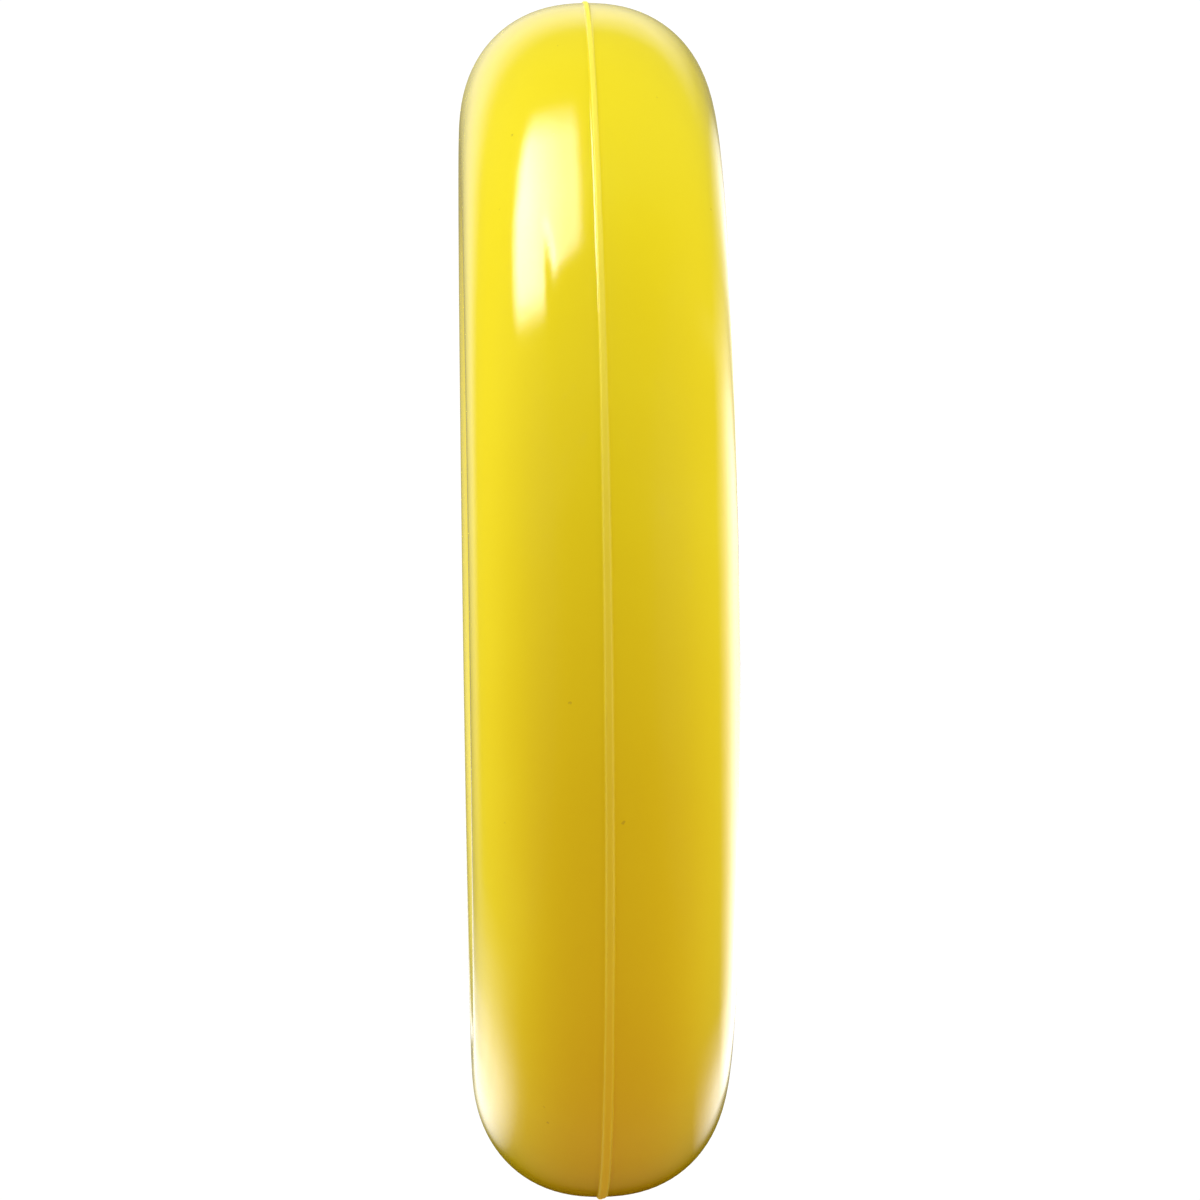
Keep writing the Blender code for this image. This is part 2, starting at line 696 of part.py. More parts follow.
base_screw_tip = DISH_UNDERSIDE + GAP
base_screw_seat = BASE_TOP + GAP
for index, quadrant in enumerate(((1, 1), (-1, 1), (-1, -1), (1, -1))):
    x = quadrant[0] * BASE_SCREW_CIRCLE * math.cos(BASE_SCREW_ANGLE)
    y = quadrant[1] * BASE_SCREW_CIRCLE * math.sin(BASE_SCREW_ANGLE)
    drill(handle_base, SMALL_HOLE, 4 * BASE_THICKNESS, (x, y, BASE_TOP))
    drill(core_upper, SMALL_HOLE, 4 * DISH_FLOOR_THICKNESS, (x, y, DISH_FLOOR))
    socket_screw(
        f"base_screw_{index + 1}",
        BRIGHT_STEEL,
        (SMALL_SCREW_HEAD, SMALL_HEAD_HEIGHT),
        SMALL_SCREW_RADIUS,
        base_screw_seat - base_screw_tip,
        (x, y, base_screw_seat),
        (0, 0, 0),
        SCREW_STEPS,
    )

for side, name in ((-1, "rest_pad_left"), (1, "rest_pad_right")):
    turned(
        name,
        [
            [
                (0, REST_PAD_TOP),
                (REST_PAD_RADIUS * 0.8, REST_PAD_TOP),
                (REST_PAD_RADIUS, REST_PAD_TOP - REST_PAD_RADIUS * 0.2),
                (REST_PAD_RADIUS, BASE_TOP + GAP),
                (0, BASE_TOP + GAP),
            ]
        ],
        DARK_RUBBER,
        SMALL_STEPS,
        closed=False,
        place=(side * REST_PAD_OFFSET, ARM_LENGTH, 0),
    )

# ---------------------------------------------------------------- pivots
for side, word in ((-1, "left"), (1, "right")):
    outwards = (0, side * math.pi / 2, 0)
    socket_screw(
        f"pivot_bolt_{word}",
        BRIGHT_STEEL,
        (PIVOT_HEAD_RADIUS, PIVOT_HEAD_HEIGHT),
        PIVOT_BOLT_RADIUS,
        ARM_OUT + GAP - EAR_IN + GAP + PIVOT_NUT_HEIGHT + BOLT_END,
        (side * (ARM_OUT + GAP), 0, PIVOT_Z),
        outwards,
        SMALL_STEPS,
    )
    turned(
        f"pivot_washer_{word}",
        [rectangle(PIVOT_HOLE, PIVOT_WASHER_RADIUS, -PIVOT_WASHER_THICKNESS, 0)],
        BRIGHT_STEEL,
        SMALL_STEPS,
        place=(side * (ARM_IN - GAP), 0, PIVOT_Z),
        turn=outwards,
    )
    hexagon_nut(
        f"pivot_nut_{word}",
        BRIGHT_STEEL,
        PIVOT_NUT_RADIUS,
        PIVOT_NUT_HEIGHT,
        PIVOT_HOLE,
        (side * (EAR_IN - GAP - PIVOT_NUT_HEIGHT / 2), 0, PIVOT_Z),
        outwards,
    )

# ---------------------------------------------------------------- handle, folded flat towards +Y
handle_pivot = bpy.data.objects.new("handle_pivot", None)
handle_pivot.location = (0, 0, PIVOT_Z)
parts.objects.link(handle_pivot)


def hang_on_handle(piece):
    """Makes a piece turn with the handle. Its place is then counted from the pivot axis."""
    piece.parent = handle_pivot


def circle_outline(centre, radius, count):
    return arc(centre, radius, 0, math.tau * (1 - 1 / count), count)


def arm_outline():
    """Straight-sided arm with round ends, one about the pivot and one about the grip bar."""
    far_end = arc((ARM_LENGTH, 0), ARM_HALF_WIDTH, -math.pi / 2, math.pi / 2, 10)
    near_end = arc((0, 0), ARM_HALF_WIDTH, math.pi / 2, 1.5 * math.pi, 10)
    return far_end + near_end


ACROSS = (math.pi / 2, 0, math.pi / 2)
for side, word in ((-1, "left"), (1, "right")):
    arm = plate(
        f"handle_arm_{word}",
        [
            arm_outline(),
            circle_outline((0, 0), PIVOT_HOLE, SMALL_STEPS),
            circle_outline((ARM_LENGTH, 0), ARM_SCREW_HOLE, SCREW_STEPS),
        ],
        ARM_THICKNESS,
        HANDLE_YELLOW,
    )
    hang_on_handle(arm)
    arm.rotation_euler = ACROSS
    arm.location = (side * (ARM_OUT - ARM_THICKNESS / 2), 0, 0)

bar_half = ARM_IN - GAP
grip_bar = turned(
    "grip_bar",
    [[(0, bar_half), (GRIP_BAR_RADIUS, bar_half), (GRIP_BAR_RADIUS, -bar_half), (0, -bar_half)]],
    BRIGHT_STEEL,
    SMALL_STEPS,
    closed=False,
    place=(0, ARM_LENGTH, PIVOT_Z),
    turn=(0, math.pi / 2, 0),
)
bpy.context.view_layer.update()
for side in (-1, 1):
    drill(
        grip_bar,
        ARM_SCREW_HOLE,
        2 * ARM_SCREW_DEPTH,
        (0, 0, side * bar_half),
    )
bpy.context.view_layer.update()
grip_bar.location = (0, ARM_LENGTH, 0)
hang_on_handle(grip_bar)

sleeve_half = bar_half - GAP
sleeve_outer = [
    (
        GRIP_END_RADIUS + (GRIP_RADIUS - GRIP_END_RADIUS) * (1 - (x / sleeve_half) ** 2),
        x,
    )
    for x in span(sleeve_half, -sleeve_half, 9)
]
sleeve_bore = GRIP_BAR_RADIUS + GAP
grip_sleeve = turned(
    "grip_sleeve",
    [sleeve_outer + [(sleeve_bore, -sleeve_half), (sleeve_bore, sleeve_half)]],
    DARK_RUBBER,
    SMALL_STEPS,
    place=(0, ARM_LENGTH, 0),
    turn=(0, math.pi / 2, 0),
)
hang_on_handle(grip_sleeve)

for side, word in ((-1, "left"), (1, "right")):
    screw = socket_screw(
        f"arm_screw_{word}",
        BRIGHT_STEEL,
        (ARM_SCREW_HEAD, ARM_SCREW_RADIUS),
        ARM_SCREW_RADIUS,
        ARM_THICKNESS + GAP + ARM_SCREW_DEPTH - 2 * GAP,
        (side * (ARM_OUT + GAP), ARM_LENGTH, PIVOT_Z),
        (0, side * math.pi / 2, 0),
        SCREW_STEPS,
    )
    screw.location.z -= PIVOT_Z
    hang_on_handle(screw)

bpy.context.view_layer.update()
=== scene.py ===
# %% [markdown]
# # A low-profile curling stone
#
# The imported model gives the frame: every part at its real size and place, with one joint, on which the
# handle folds out of its dish. This lesson gives the parts their looks. It shapes the air-filled bumper
# ring, the two core shells, the handle and the small hardware again with a finer surface, paints them, and
# lights them in a white studio. Nothing is moved or resized, because the handle has to swing about the same
# axis as before.

import json
import math

import bpy
from mathutils import Matrix, Vector


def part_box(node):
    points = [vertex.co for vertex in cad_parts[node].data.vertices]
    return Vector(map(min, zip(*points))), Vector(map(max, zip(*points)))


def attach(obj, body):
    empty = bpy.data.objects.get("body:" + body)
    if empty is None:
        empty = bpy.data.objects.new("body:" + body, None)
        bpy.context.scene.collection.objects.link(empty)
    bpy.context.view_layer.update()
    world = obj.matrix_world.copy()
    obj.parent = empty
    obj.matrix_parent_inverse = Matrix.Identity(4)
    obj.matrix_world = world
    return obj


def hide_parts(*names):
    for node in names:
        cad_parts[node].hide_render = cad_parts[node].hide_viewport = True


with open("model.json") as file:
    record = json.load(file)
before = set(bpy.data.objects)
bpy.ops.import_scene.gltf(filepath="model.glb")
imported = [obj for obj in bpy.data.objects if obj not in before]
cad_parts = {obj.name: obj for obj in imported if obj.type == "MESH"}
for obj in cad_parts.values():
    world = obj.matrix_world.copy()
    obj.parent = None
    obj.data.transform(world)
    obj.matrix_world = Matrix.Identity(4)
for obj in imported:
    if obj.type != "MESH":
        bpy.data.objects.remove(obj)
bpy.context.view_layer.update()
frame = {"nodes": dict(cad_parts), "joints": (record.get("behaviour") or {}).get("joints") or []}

# %% [markdown]
# ## Places that come from the frame
#
# A node's box says where the part is. Most places are read from those boxes, so the finer pieces sit
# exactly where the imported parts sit. A few sizes can't be read from a box, such as the ring's width from
# its hole to its rim, and these have a named value.

# %% Read the frame's places
RING_HALF_WIDTH = 0.0314
RIM_SQUARENESS = 2.25
RIB_HEIGHT = 0.0004
RING_WALL = 0.003
SEAT_GAP = 0.0004
SHELL_WALL = 0.003
LIP_ANGLE = math.radians(55)

ring_low, ring_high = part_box("bumper_ring")
OUTER_RADIUS = ring_high.x - RIB_HEIGHT
RING_RADIUS = OUTER_RADIUS - RING_HALF_WIDTH
HALF_HEIGHT = (ring_high.z - ring_low.z) / 2
MID_Z = (ring_high.z + ring_low.z) / 2

base_low, base_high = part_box("handle_base")
arm_low, arm_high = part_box("handle_arm_right")
PIVOT = Vector(frame["joints"][0]["pos_m"])
ARM_HALF = (arm_high.z - arm_low.z) / 2
ARM_LENGTH = arm_high.y - ARM_HALF
print(f"ring {2000 * OUTER_RADIUS:.0f} mm across, {2000 * HALF_HEIGHT:.1f} mm high")
print(f"handle pivot {tuple(round(c, 4) for c in PIVOT)}, arm {1000 * ARM_LENGTH:.1f} mm long")

# %% [markdown]
# ## Working by hand, from a script
#
# Each piece starts as a primitive and is shaped in edit mode. The operators act on whatever is selected, so
# every helper first drops the old selection. A turned part is drawn as a person would draw it: one point,
# extruded step by step into the outline of half a section, then spun once round the stone's axis.

# %% Helpers that act on one piece
def deselect():
    """Leaves edit mode and drops the selection, so that the next operator acts on the new piece only."""
    if bpy.context.object and bpy.context.object.mode != "OBJECT":
        bpy.ops.object.mode_set(mode="OBJECT")
    bpy.ops.object.select_all(action="DESELECT")


def pick(piece):
    deselect()
    piece.select_set(True)
    bpy.context.view_layer.objects.active = piece


def apply_modifier(piece, kind, **settings):
    """Adds a modifier, sets it and applies it."""
    pick(piece)
    modifier = piece.modifiers.new(kind.lower(), kind)
    for name, value in settings.items():
        setattr(modifier, name, value)
    bpy.ops.object.modifier_apply(modifier=modifier.name)


def soften(piece, width, segments=3, angle=32):
    """Rounds every edge that is sharper than the angle, as the edges of a moulded or machined part are."""
    apply_modifier(
        piece, "BEVEL", width=width, segments=segments, limit_method="ANGLE",
        angle_limit=math.radians(angle), use_clamp_overlap=True,
    )


def smooth(piece, angle=38):
    pick(piece)
    bpy.ops.object.shade_smooth_by_angle(angle=math.radians(angle))


def boolean(piece, tool, operation):
    """Cuts a piece with a tool or joins the tool to it, and removes the tool."""
    apply_modifier(piece, "BOOLEAN", operation=operation, solver="EXACT", object=tool)
    bpy.data.objects.remove(tool)


def settle(piece):
    """Puts the object's place, turn and size into its mesh, so that the object sits at the origin."""
    pick(piece)
    bpy.ops.object.transform_apply(location=True, rotation=True, scale=True)


def aim(piece, origin, direction):
    """Carries a piece made round +Z at the origin to its place, with +Z looking along a direction."""
    piece.rotation_mode = "QUATERNION"
    piece.rotation_quaternion = Vector((0, 0, 1)).rotation_difference(Vector(direction))
    piece.location = origin
    settle(piece)


def edit(kind="VERT", action="SELECT"):
    """Enters edit mode with everything selected, or with nothing."""
    bpy.ops.object.mode_set(mode="EDIT")
    bpy.ops.mesh.select_mode(type=kind)
    bpy.ops.mesh.select_all(action=action)


def leave_edit():
    bpy.ops.object.mode_set(mode="OBJECT")


def edit_where(piece, kind, test):
    """Enters edit mode with only the vertices or the faces selected that pass the test."""
    pick(piece)
    edit(kind, "DESELECT")
    leave_edit()
    for item in piece.data.vertices if kind == "VERT" else piece.data.polygons:
        item.select = test(item)
    bpy.ops.object.mode_set(mode="EDIT")


print("helpers ready")


# %% Helpers that start a piece
MERGE_DISTANCE = 0.000004


def lathe(name, outline, steps=96, closed=True):
    """Extrudes one point along an outline of (radius, height) stops and spins it round Z."""
    deselect()
    first = outline[0]
    bpy.ops.mesh.primitive_plane_add(size=0.001, location=(first[0], 0, first[1]))
    piece = bpy.context.object
    piece.name = name
    settle(piece)
    edit()
    bpy.ops.mesh.merge(type="CENTER")
    here = first
    for there in outline[1:] + ([first] if closed else []):
        step = (there[0] - here[0], 0, there[1] - here[1])
        bpy.ops.mesh.extrude_vertices_move(TRANSFORM_OT_translate={"value": step})
        here = there
    bpy.ops.mesh.select_all(action="SELECT")
    bpy.ops.mesh.remove_doubles(threshold=MERGE_DISTANCE)
    bpy.ops.mesh.spin(steps=steps, angle=math.tau, center=(0, 0, 0), axis=(0, 0, 1))
    bpy.ops.mesh.select_all(action="SELECT")
    bpy.ops.mesh.remove_doubles(threshold=MERGE_DISTANCE)
    bpy.ops.mesh.normals_make_consistent(inside=False)
    leave_edit()
    return piece


def cylinder(name, radius, depth, origin, direction=(0, 0, 1), sides=48):
    deselect()
    bpy.ops.mesh.primitive_cylinder_add(vertices=sides, radius=radius, depth=depth)
    piece = bpy.context.object
    piece.name = name
    aim(piece, origin, direction)
    return piece


def block(name, low, high):
    """A box between two corners."""
    deselect()
    middle = [(a + b) / 2 for a, b in zip(low, high)]
    bpy.ops.mesh.primitive_cube_add(size=1, location=middle)
    piece = bpy.context.object
    piece.name = name
    piece.scale = [abs(b - a) for a, b in zip(low, high)]
    settle(piece)
    return piece


def twin(piece, name):
    """A copy with its own mesh."""
    copy = piece.copy()
    copy.data = piece.data.copy()
    copy.name = name
    bpy.context.collection.objects.link(copy)
    return copy


def span(first, last, count):
    return [first + (last - first) * i / (count - 1) for i in range(count)]


def arc(centre, radius, first, last, count):
    """Points on an arc, between two angles in degrees."""
    return [
        (centre[0] + radius * math.cos(math.radians(a)), centre[1] + radius * math.sin(math.radians(a)))
        for a in span(first, last, count)
    ]


def hand_over(piece, finish, slot, body, *nodes):
    """Gives a finished piece its material and its body, and hides the nodes that it stands for. Its slot is
    not used.
    """
    piece.data.materials.clear()
    piece.data.materials.append(finish)
    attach(piece, body)
    if nodes:
        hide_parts(*nodes)
    print(f"{piece.name}: {len(piece.data.polygons)} faces, rides on {body}")


print("ready to model")

# %% [markdown]
# ## Materials: sockets and small groups
#
# Moulded plastic is never one flat colour. Its pigment is a little uneven, its skin has the faint orange
# peel of the tool, and dust sits on it. These effects are shared, so each is a node group with named
# sockets that is built once. A group puts out masks and heights only. The shader itself stays in each
# material.

# %% Helpers for shader nodes
def feed(tree, socket, value):
    """Links a socket to another one, or sets its value."""
    if isinstance(value, bpy.types.NodeSocket):
        tree.links.new(value, socket)
    else:
        socket.default_value = value


def node(tree, kind, settings=None, **inputs):
    """Adds a node. Sockets are named with underscores in place of blanks."""
    made = tree.nodes.new(kind)
    for name, value in (settings or {}).items():
        setattr(made, name, value)
    for name, value in inputs.items():
        feed(tree, made.inputs[name.replace("_", " ")], value)
    return made


def spread(tree, value, low, high, to_low, to_high):
    """Maps a range of values to another one, clamped."""
    return node(
        tree, "ShaderNodeMapRange", Value=value, From_Min=low, From_Max=high, To_Min=to_low, To_Max=to_high
    ).outputs["Result"]


def blend_colour(tree, factor, first, second):
    """Goes from the first colour to the second one as the factor goes from 0 to 1."""
    mix = tree.nodes.new("ShaderNodeMix")
    mix.data_type = "RGBA"
    for index, value in ((0, factor), (6, first), (7, second)):
        feed(tree, mix.inputs[index], value)
    return mix.outputs[2]


def maths(tree, operation, *values, kind="ShaderNodeMath"):
    made = node(tree, kind, {"operation": operation})
    for socket, value in zip(made.inputs, values):
        feed(tree, socket, value)
    return made.outputs["Value" if operation == "LENGTH" else 0]


def plus(tree, first, second):
    return maths(tree, "ADD", first, second)


def times(tree, *factors):
    """The product of all factors."""
    result = factors[0]
    for factor in factors[1:]:
        result = maths(tree, "MULTIPLY", result, factor)
    return result


def vector_maths(tree, operation, *values):
    return maths(tree, operation, *values, kind="ShaderNodeVectorMath")


def object_place(tree):
    return node(tree, "ShaderNodeTexCoord").outputs["Object"]


def noise(tree, place, scale, detail, output="Fac", roughness=0.5):
    made = node(tree, "ShaderNodeTexNoise", Vector=place, Scale=scale, Detail=detail, Roughness=roughness)
    return made.outputs[output]


def new_group(name, inputs, outputs):
    """An empty node group with float sockets, and the nodes that stand for its inside ends."""
    tree = bpy.data.node_groups.new(name, "ShaderNodeTree")
    for socket, value in inputs.items():
        made = tree.interface.new_socket(socket, in_out="INPUT", socket_type="NodeSocketFloat")
        made.default_value = value
    for socket in outputs:
        tree.interface.new_socket(socket, in_out="OUTPUT", socket_type="NodeSocketFloat")
    return tree, tree.nodes.new("NodeGroupInput"), tree.nodes.new("NodeGroupOutput")


def use_group(tree, group, **inputs):
    made = tree.nodes.new("ShaderNodeGroup")
    made.node_tree = group
    for name, value in inputs.items():
        feed(tree, made.inputs[name.replace("_", " ")], value)
    return made


print("shader helpers ready")

# %% [markdown]
# The moulded skin has three scales. A slow swell of the wall, a fine orange peel, and a slow drift of the
# pigment. All three are noise on Object coordinates, so they stay with the piece when it turns.

# %% Group: moulded skin
def build_moulded_skin():
    tree, start, end = new_group(
        "moulded_skin", {"Swell Scale": 30.0, "Peel Scale": 700.0, "Peel Share": 0.3}, ["Height", "Drift"]
    )
    place = object_place(tree)
    swell = noise(tree, place, start.outputs["Swell Scale"], 2.0)
    peel = noise(tree, place, start.outputs["Peel Scale"], 3.0)
    drift = noise(tree, place, 14.0, 3.0, roughness=0.55)
    feed(tree, end.inputs["Height"], plus(tree, swell, times(tree, peel, start.outputs["Peel Share"])))
    feed(tree, end.inputs["Drift"], spread(tree, drift, 0.3, 0.7, 0.0, 1.0))
    return tree


MOULDED_SKIN = build_moulded_skin()
print("group", MOULDED_SKIN.name)

# %% [markdown]
# Specks are single grains of dust or pigment. A Voronoi pattern gives one cell a random colour and a
# distance from its middle: only a few cells are let through, and only near their middle. One channel of the
# colour says which cells, and another one says how large their grain is. A fine noise bends the pattern, so
# that no grain is round.

# %% Group: specks
def build_specks():
    tree, start, end = new_group("specks", {"Scale": 500.0, "Size": 0.2, "Share": 0.1}, ["Mask"])
    place = object_place(tree)
    bend = noise(tree, place, 1300.0, 1.0, "Color")
    bent = vector_maths(tree, "MULTIPLY_ADD", bend, (0.001, 0.001, 0.001), place)
    cells = node(tree, "ShaderNodeTexVoronoi", Vector=bent, Scale=start.outputs["Scale"])
    random = node(tree, "ShaderNodeSeparateColor", Color=cells.outputs["Color"]).outputs
    chosen = maths(tree, "LESS_THAN", random[0], start.outputs["Share"])
    reach = times(tree, start.outputs["Size"], spread(tree, random[1], 0.0, 1.0, 0.4, 1.25))
    near = maths(tree, "LESS_THAN", cells.outputs["Distance"], reach)
    feed(tree, end.inputs["Mask"], times(tree, chosen, near))
    return tree


SPECKS = build_specks()
print("group", SPECKS.name)

# %% [markdown]
# Scuffs are the thin scratches and rubbed patches of use. Noise that is stretched a lot along one direction
# gives hair lines, and a slower noise says where they gather.

# %% Group: scuffs
def build_scuffs():
    tree, start, end = new_group("scuffs", {"Scale": 90.0, "Amount": 0.5}, ["Mask"])
    place = object_place(tree)
    turned = node(tree, "ShaderNodeMapping", Vector=place, Rotation=(0.3, 0.5, 0.7), Scale=(1.0, 14.0, 6.0))
    lines = noise(tree, turned.outputs["Vector"], start.outputs["Scale"], 4.0)
    hairs = spread(tree, lines, 0.64, 0.74, 0.0, 1.0)
    where = spread(tree, noise(tree, place, 22.0, 2.0), 0.45, 0.65, 0.15, 1.0)
    feed(tree, end.inputs["Mask"], times(tree, hairs, where, start.outputs["Amount"]))
    return tree


SCUFFS = build_scuffs()
print("group", SCUFFS.name)


# %% Start of every material
def new_material(name):
    made = bpy.data.materials.new(name)
    made.use_nodes = True
    return made, made.node_tree, made.node_tree.nodes["Principled BSDF"]


def bump(tree, shader, height, distance, strength=1.0):
    raised = node(tree, "ShaderNodeBump", Height=height, Distance=distance, Strength=strength)
    feed(tree, shader.inputs["Normal"], raised.outputs["Normal"])


# %% [markdown]
# ## The yellow ring vinyl
#
# Soft PVC comes out of the tool glossy, with a clear skin over a strong yellow. The colour is nearly even,
# so the drift between the two yellows is small. A few dark grains lie in it, and the gloss is broken by the
# slow swell of a wall that was blown against the tool.

# %% Material: ring vinyl
SEAM_HALF_WIDTH = 0.00075
VINYL_DEEP = (0.86, 0.71, 0.008, 1)
VINYL_LEMON = (0.88, 0.75, 0.011, 1)
# The seam's paler yellow is a painted highlight along the raised seam.
VINYL_SEAM_HIGHLIGHT = (0.95, 0.88, 0.12, 1)
VINYL_GRAIN = (0.45, 0.30, 0.02, 1)


def seam_mask(tree):
    """1 on the trimmed seam of the rim and 0 beside it. The seam is wider towards -X than towards +X."""
    axes = node(tree, "ShaderNodeSeparateXYZ", Vector=object_place(tree))
    rise = maths(tree, "ABSOLUTE", maths(tree, "SUBTRACT", axes.outputs["Z"], MID_Z))
    widths = (1.3 * SEAM_HALF_WIDTH, 0.66 * SEAM_HALF_WIDTH)
    half = spread(tree, axes.outputs["X"], -OUTER_RADIUS, OUTER_RADIUS, *widths)
    return spread(tree, maths(tree, "DIVIDE", rise, half), 0.5, 1.5, 1.0, 0.0)


def build_ring_vinyl():
    made, tree, shader = new_material("ring_vinyl")
    skin = use_group(tree, MOULDED_SKIN, Swell_Scale=26.0, Peel_Scale=520.0, Peel_Share=0.04)
    grains = use_group(tree, SPECKS, Scale=230.0, Size=0.1, Share=0.05)
    wear = use_group(tree, SCUFFS, Scale=60.0, Amount=0.12)
    yellow = blend_colour(tree, skin.outputs["Drift"], VINYL_DEEP, VINYL_LEMON)
    seam = seam_mask(tree)
    # The seam is painted a paler yellow: a painted highlight along the raised seam. Its extra roughness
    # below is the trimmed surface.
    trimmed = blend_colour(tree, times(tree, seam, 0.2), yellow, VINYL_SEAM_HIGHLIGHT)
    grained = blend_colour(tree, times(tree, grains.outputs["Mask"], 0.4), trimmed, VINYL_GRAIN)
    feed(tree, shader.inputs["Base Color"], grained)
    gloss = spread(tree, skin.outputs["Drift"], 0.0, 1.0, 0.09, 0.13)
    worn = plus(tree, gloss, wear.outputs["Mask"])
    feed(tree, shader.inputs["Roughness"], plus(tree, worn, times(tree, seam, 0.45)))
    shader.inputs["IOR"].default_value = 1.5
    bump(tree, shader, skin.outputs["Height"], 0.0003)
    return made


RING_VINYL = build_ring_vinyl()
print("material", RING_VINYL.name)

# %% [markdown]
# ## Hard yellow plastic, granite-fleck core and rubber
#
# The handle is a harder plastic with a finer, slightly matt grain. The core is moulded from grey plastic
# with dark and pale flecks, which is how plastic stones are given the look of granite. Rubber parts are
# nearly black, matt and dusty.

# %% Materials: handle plastic, core plastic, rubber and foam
def build_moulded(name, swell, peel, peel_share, tones, marks, gloss, depth, scuffs_roughen=False):
    """A moulded material: two drifting tones, marks laid over them, a range of gloss and a skin.

    A mark is a group, its values, its strength and its colour.
    """
    made, tree, shader = new_material(name)
    skin = use_group(tree, MOULDED_SKIN, Swell_Scale=swell, Peel_Scale=peel, Peel_Share=peel_share)
    colour = blend_colour(tree, skin.outputs["Drift"], *tones)
    roughness = spread(tree, skin.outputs["Drift"], 0.0, 1.0, *gloss)
    for group, values, strength, mark in marks:
        mask = use_group(tree, group, **values).outputs["Mask"]
        colour = blend_colour(tree, times(tree, mask, strength), colour, mark)
        if scuffs_roughen and group == SCUFFS:
            roughness = plus(tree, roughness, mask)
    feed(tree, shader.inputs["Base Color"], colour)
    feed(tree, shader.inputs["Roughness"], roughness)
    bump(tree, shader, skin.outputs["Height"], depth)
    print("material", made.name)
    return made


HANDLE_PLASTIC = build_moulded(
    "handle_plastic", 120.0, 2600.0, 0.5, ((0.83, 0.61, 0.012, 1), (0.86, 0.66, 0.016, 1)),
    [(SCUFFS, {"Scale": 220.0, "Amount": 0.5}, 0.5, (0.9, 0.8, 0.35, 1))],
    (0.28, 0.36), 0.00006, scuffs_roughen=True,
)
CORE_PLASTIC = build_moulded(
    "core_plastic", 60.0, 1700.0, 0.8, ((0.13, 0.135, 0.145, 1), (0.19, 0.195, 0.2, 1)),
    [
        (SPECKS, {"Scale": 620.0, "Size": 0.42, "Share": 0.3}, 1.0, (0.035, 0.035, 0.04, 1)),
        (SPECKS, {"Scale": 470.0, "Size": 0.36, "Share": 0.16}, 1.0, (0.42, 0.42, 0.41, 1)),
        (SCUFFS, {"Scale": 150.0, "Amount": 0.35}, 0.6, (0.45, 0.45, 0.45, 1)),
    ],
    (0.42, 0.54), 0.00012,
)
DUST = [(SPECKS, {"Scale": 900.0, "Size": 0.25, "Share": 0.05}, 0.5, (0.3, 0.29, 0.27, 1))]
RUBBER = build_moulded(
    "rubber", 150.0, 2200.0, 1.0, ((0.018, 0.018, 0.02, 1), (0.04, 0.04, 0.042, 1)), DUST,
    (0.55, 0.67), 0.00008,
)
FOAM = build_moulded(
    "foam", 150.0, 1100.0, 1.0, ((0.05, 0.05, 0.05, 1), (0.09, 0.09, 0.09, 1)), DUST,
    (0.85, 0.97), 0.0004,
)

# %% [markdown]
# ## Metal
#
# The fasteners are zinc plated: a cool bright grey whose gloss changes in small patches. The running band
# is polished by turning it, which leaves fine rings round the axis, and sliding adds straight scratches.
# Wave rings about Z give the tool marks, and the scuff group gives the scratches.

# %% Materials: steel
def build_steel(name, dull, bright, low_gloss, high_gloss, ring_scale=None):
    made, tree, shader = new_material(name)
    skin = use_group(tree, MOULDED_SKIN, Swell_Scale=240.0, Peel_Scale=1500.0, Peel_Share=0.6)
    wear = use_group(tree, SCUFFS, Scale=130.0, Amount=0.25)
    feed(tree, shader.inputs["Base Color"], blend_colour(tree, skin.outputs["Drift"], dull, bright))
    feed(tree, shader.inputs["Metallic"], 0.85)
    gloss = spread(tree, skin.outputs["Height"], 0.4, 1.2, low_gloss, high_gloss)
    feed(tree, shader.inputs["Roughness"], plus(tree, gloss, wear.outputs["Mask"]))
    height, depth = skin.outputs["Height"], 0.00002
    if ring_scale:
        marks = node(
            tree, "ShaderNodeTexWave", {"wave_type": "RINGS", "rings_direction": "Z"},
            Vector=object_place(tree), Scale=ring_scale, Distortion=0.4, Detail=2.0,
        )
        height, depth = marks.outputs["Fac"], 0.000008
    bump(tree, shader, height, depth)
    print("material", made.name)
    return made


ZINC = build_steel("zinc_steel", (0.52, 0.53, 0.55, 1), (0.66, 0.67, 0.69, 1), 0.22, 0.36)
BAND = build_steel("band_steel", (0.60, 0.61, 0.63, 1), (0.72, 0.73, 0.75, 1), 0.12, 0.22, ring_scale=900.0)
BALLAST = build_steel("rolled_steel", (0.10, 0.10, 0.11, 1), (0.20, 0.19, 0.19, 1), 0.45, 0.65)
print("steels ready")

# %% [markdown]
# ## The bumper ring
#
# The ring is a tube with a raised seam round its rim, where the two halves of the tool met. Its section is
# an ellipse where it sits in the core, and a little squarer than an ellipse towards the rim. A torus
# primitive would have the same fineness all over, but the seam is a millimetre wide and the ring is 280. So
# the section is drawn with close points only at the seam and spun, and the hollow is a second, coarser
# shell that is turned inside out and joined to the first one.

# %% Section of the ring
RIB_REACH = 0.0024


def rib_rise(height):
    """How far the seam stands out at a height above the mid-plane: a flat top with soft feet."""
    share = min(1.0, max(0.0, (1.5 * SEAM_HALF_WIDTH - abs(height)) / (0.9 * SEAM_HALF_WIDTH)))
    return RIB_HEIGHT * share * share * (3 - 2 * share)


def section_point(angle, wall):
    """Point of the section, set in by the wall. Angle 0 faces outwards, and the rim side is squarer."""
    across = math.cos(angle)
    up = math.sin(angle)
    if across > 0:
        across = across ** (2 / RIM_SQUARENESS)
        up = math.copysign(abs(up) ** (2 / RIM_SQUARENESS), up)
    return RING_RADIUS + (RING_HALF_WIDTH - wall) * across, MID_Z + (HALF_HEIGHT - wall) * up


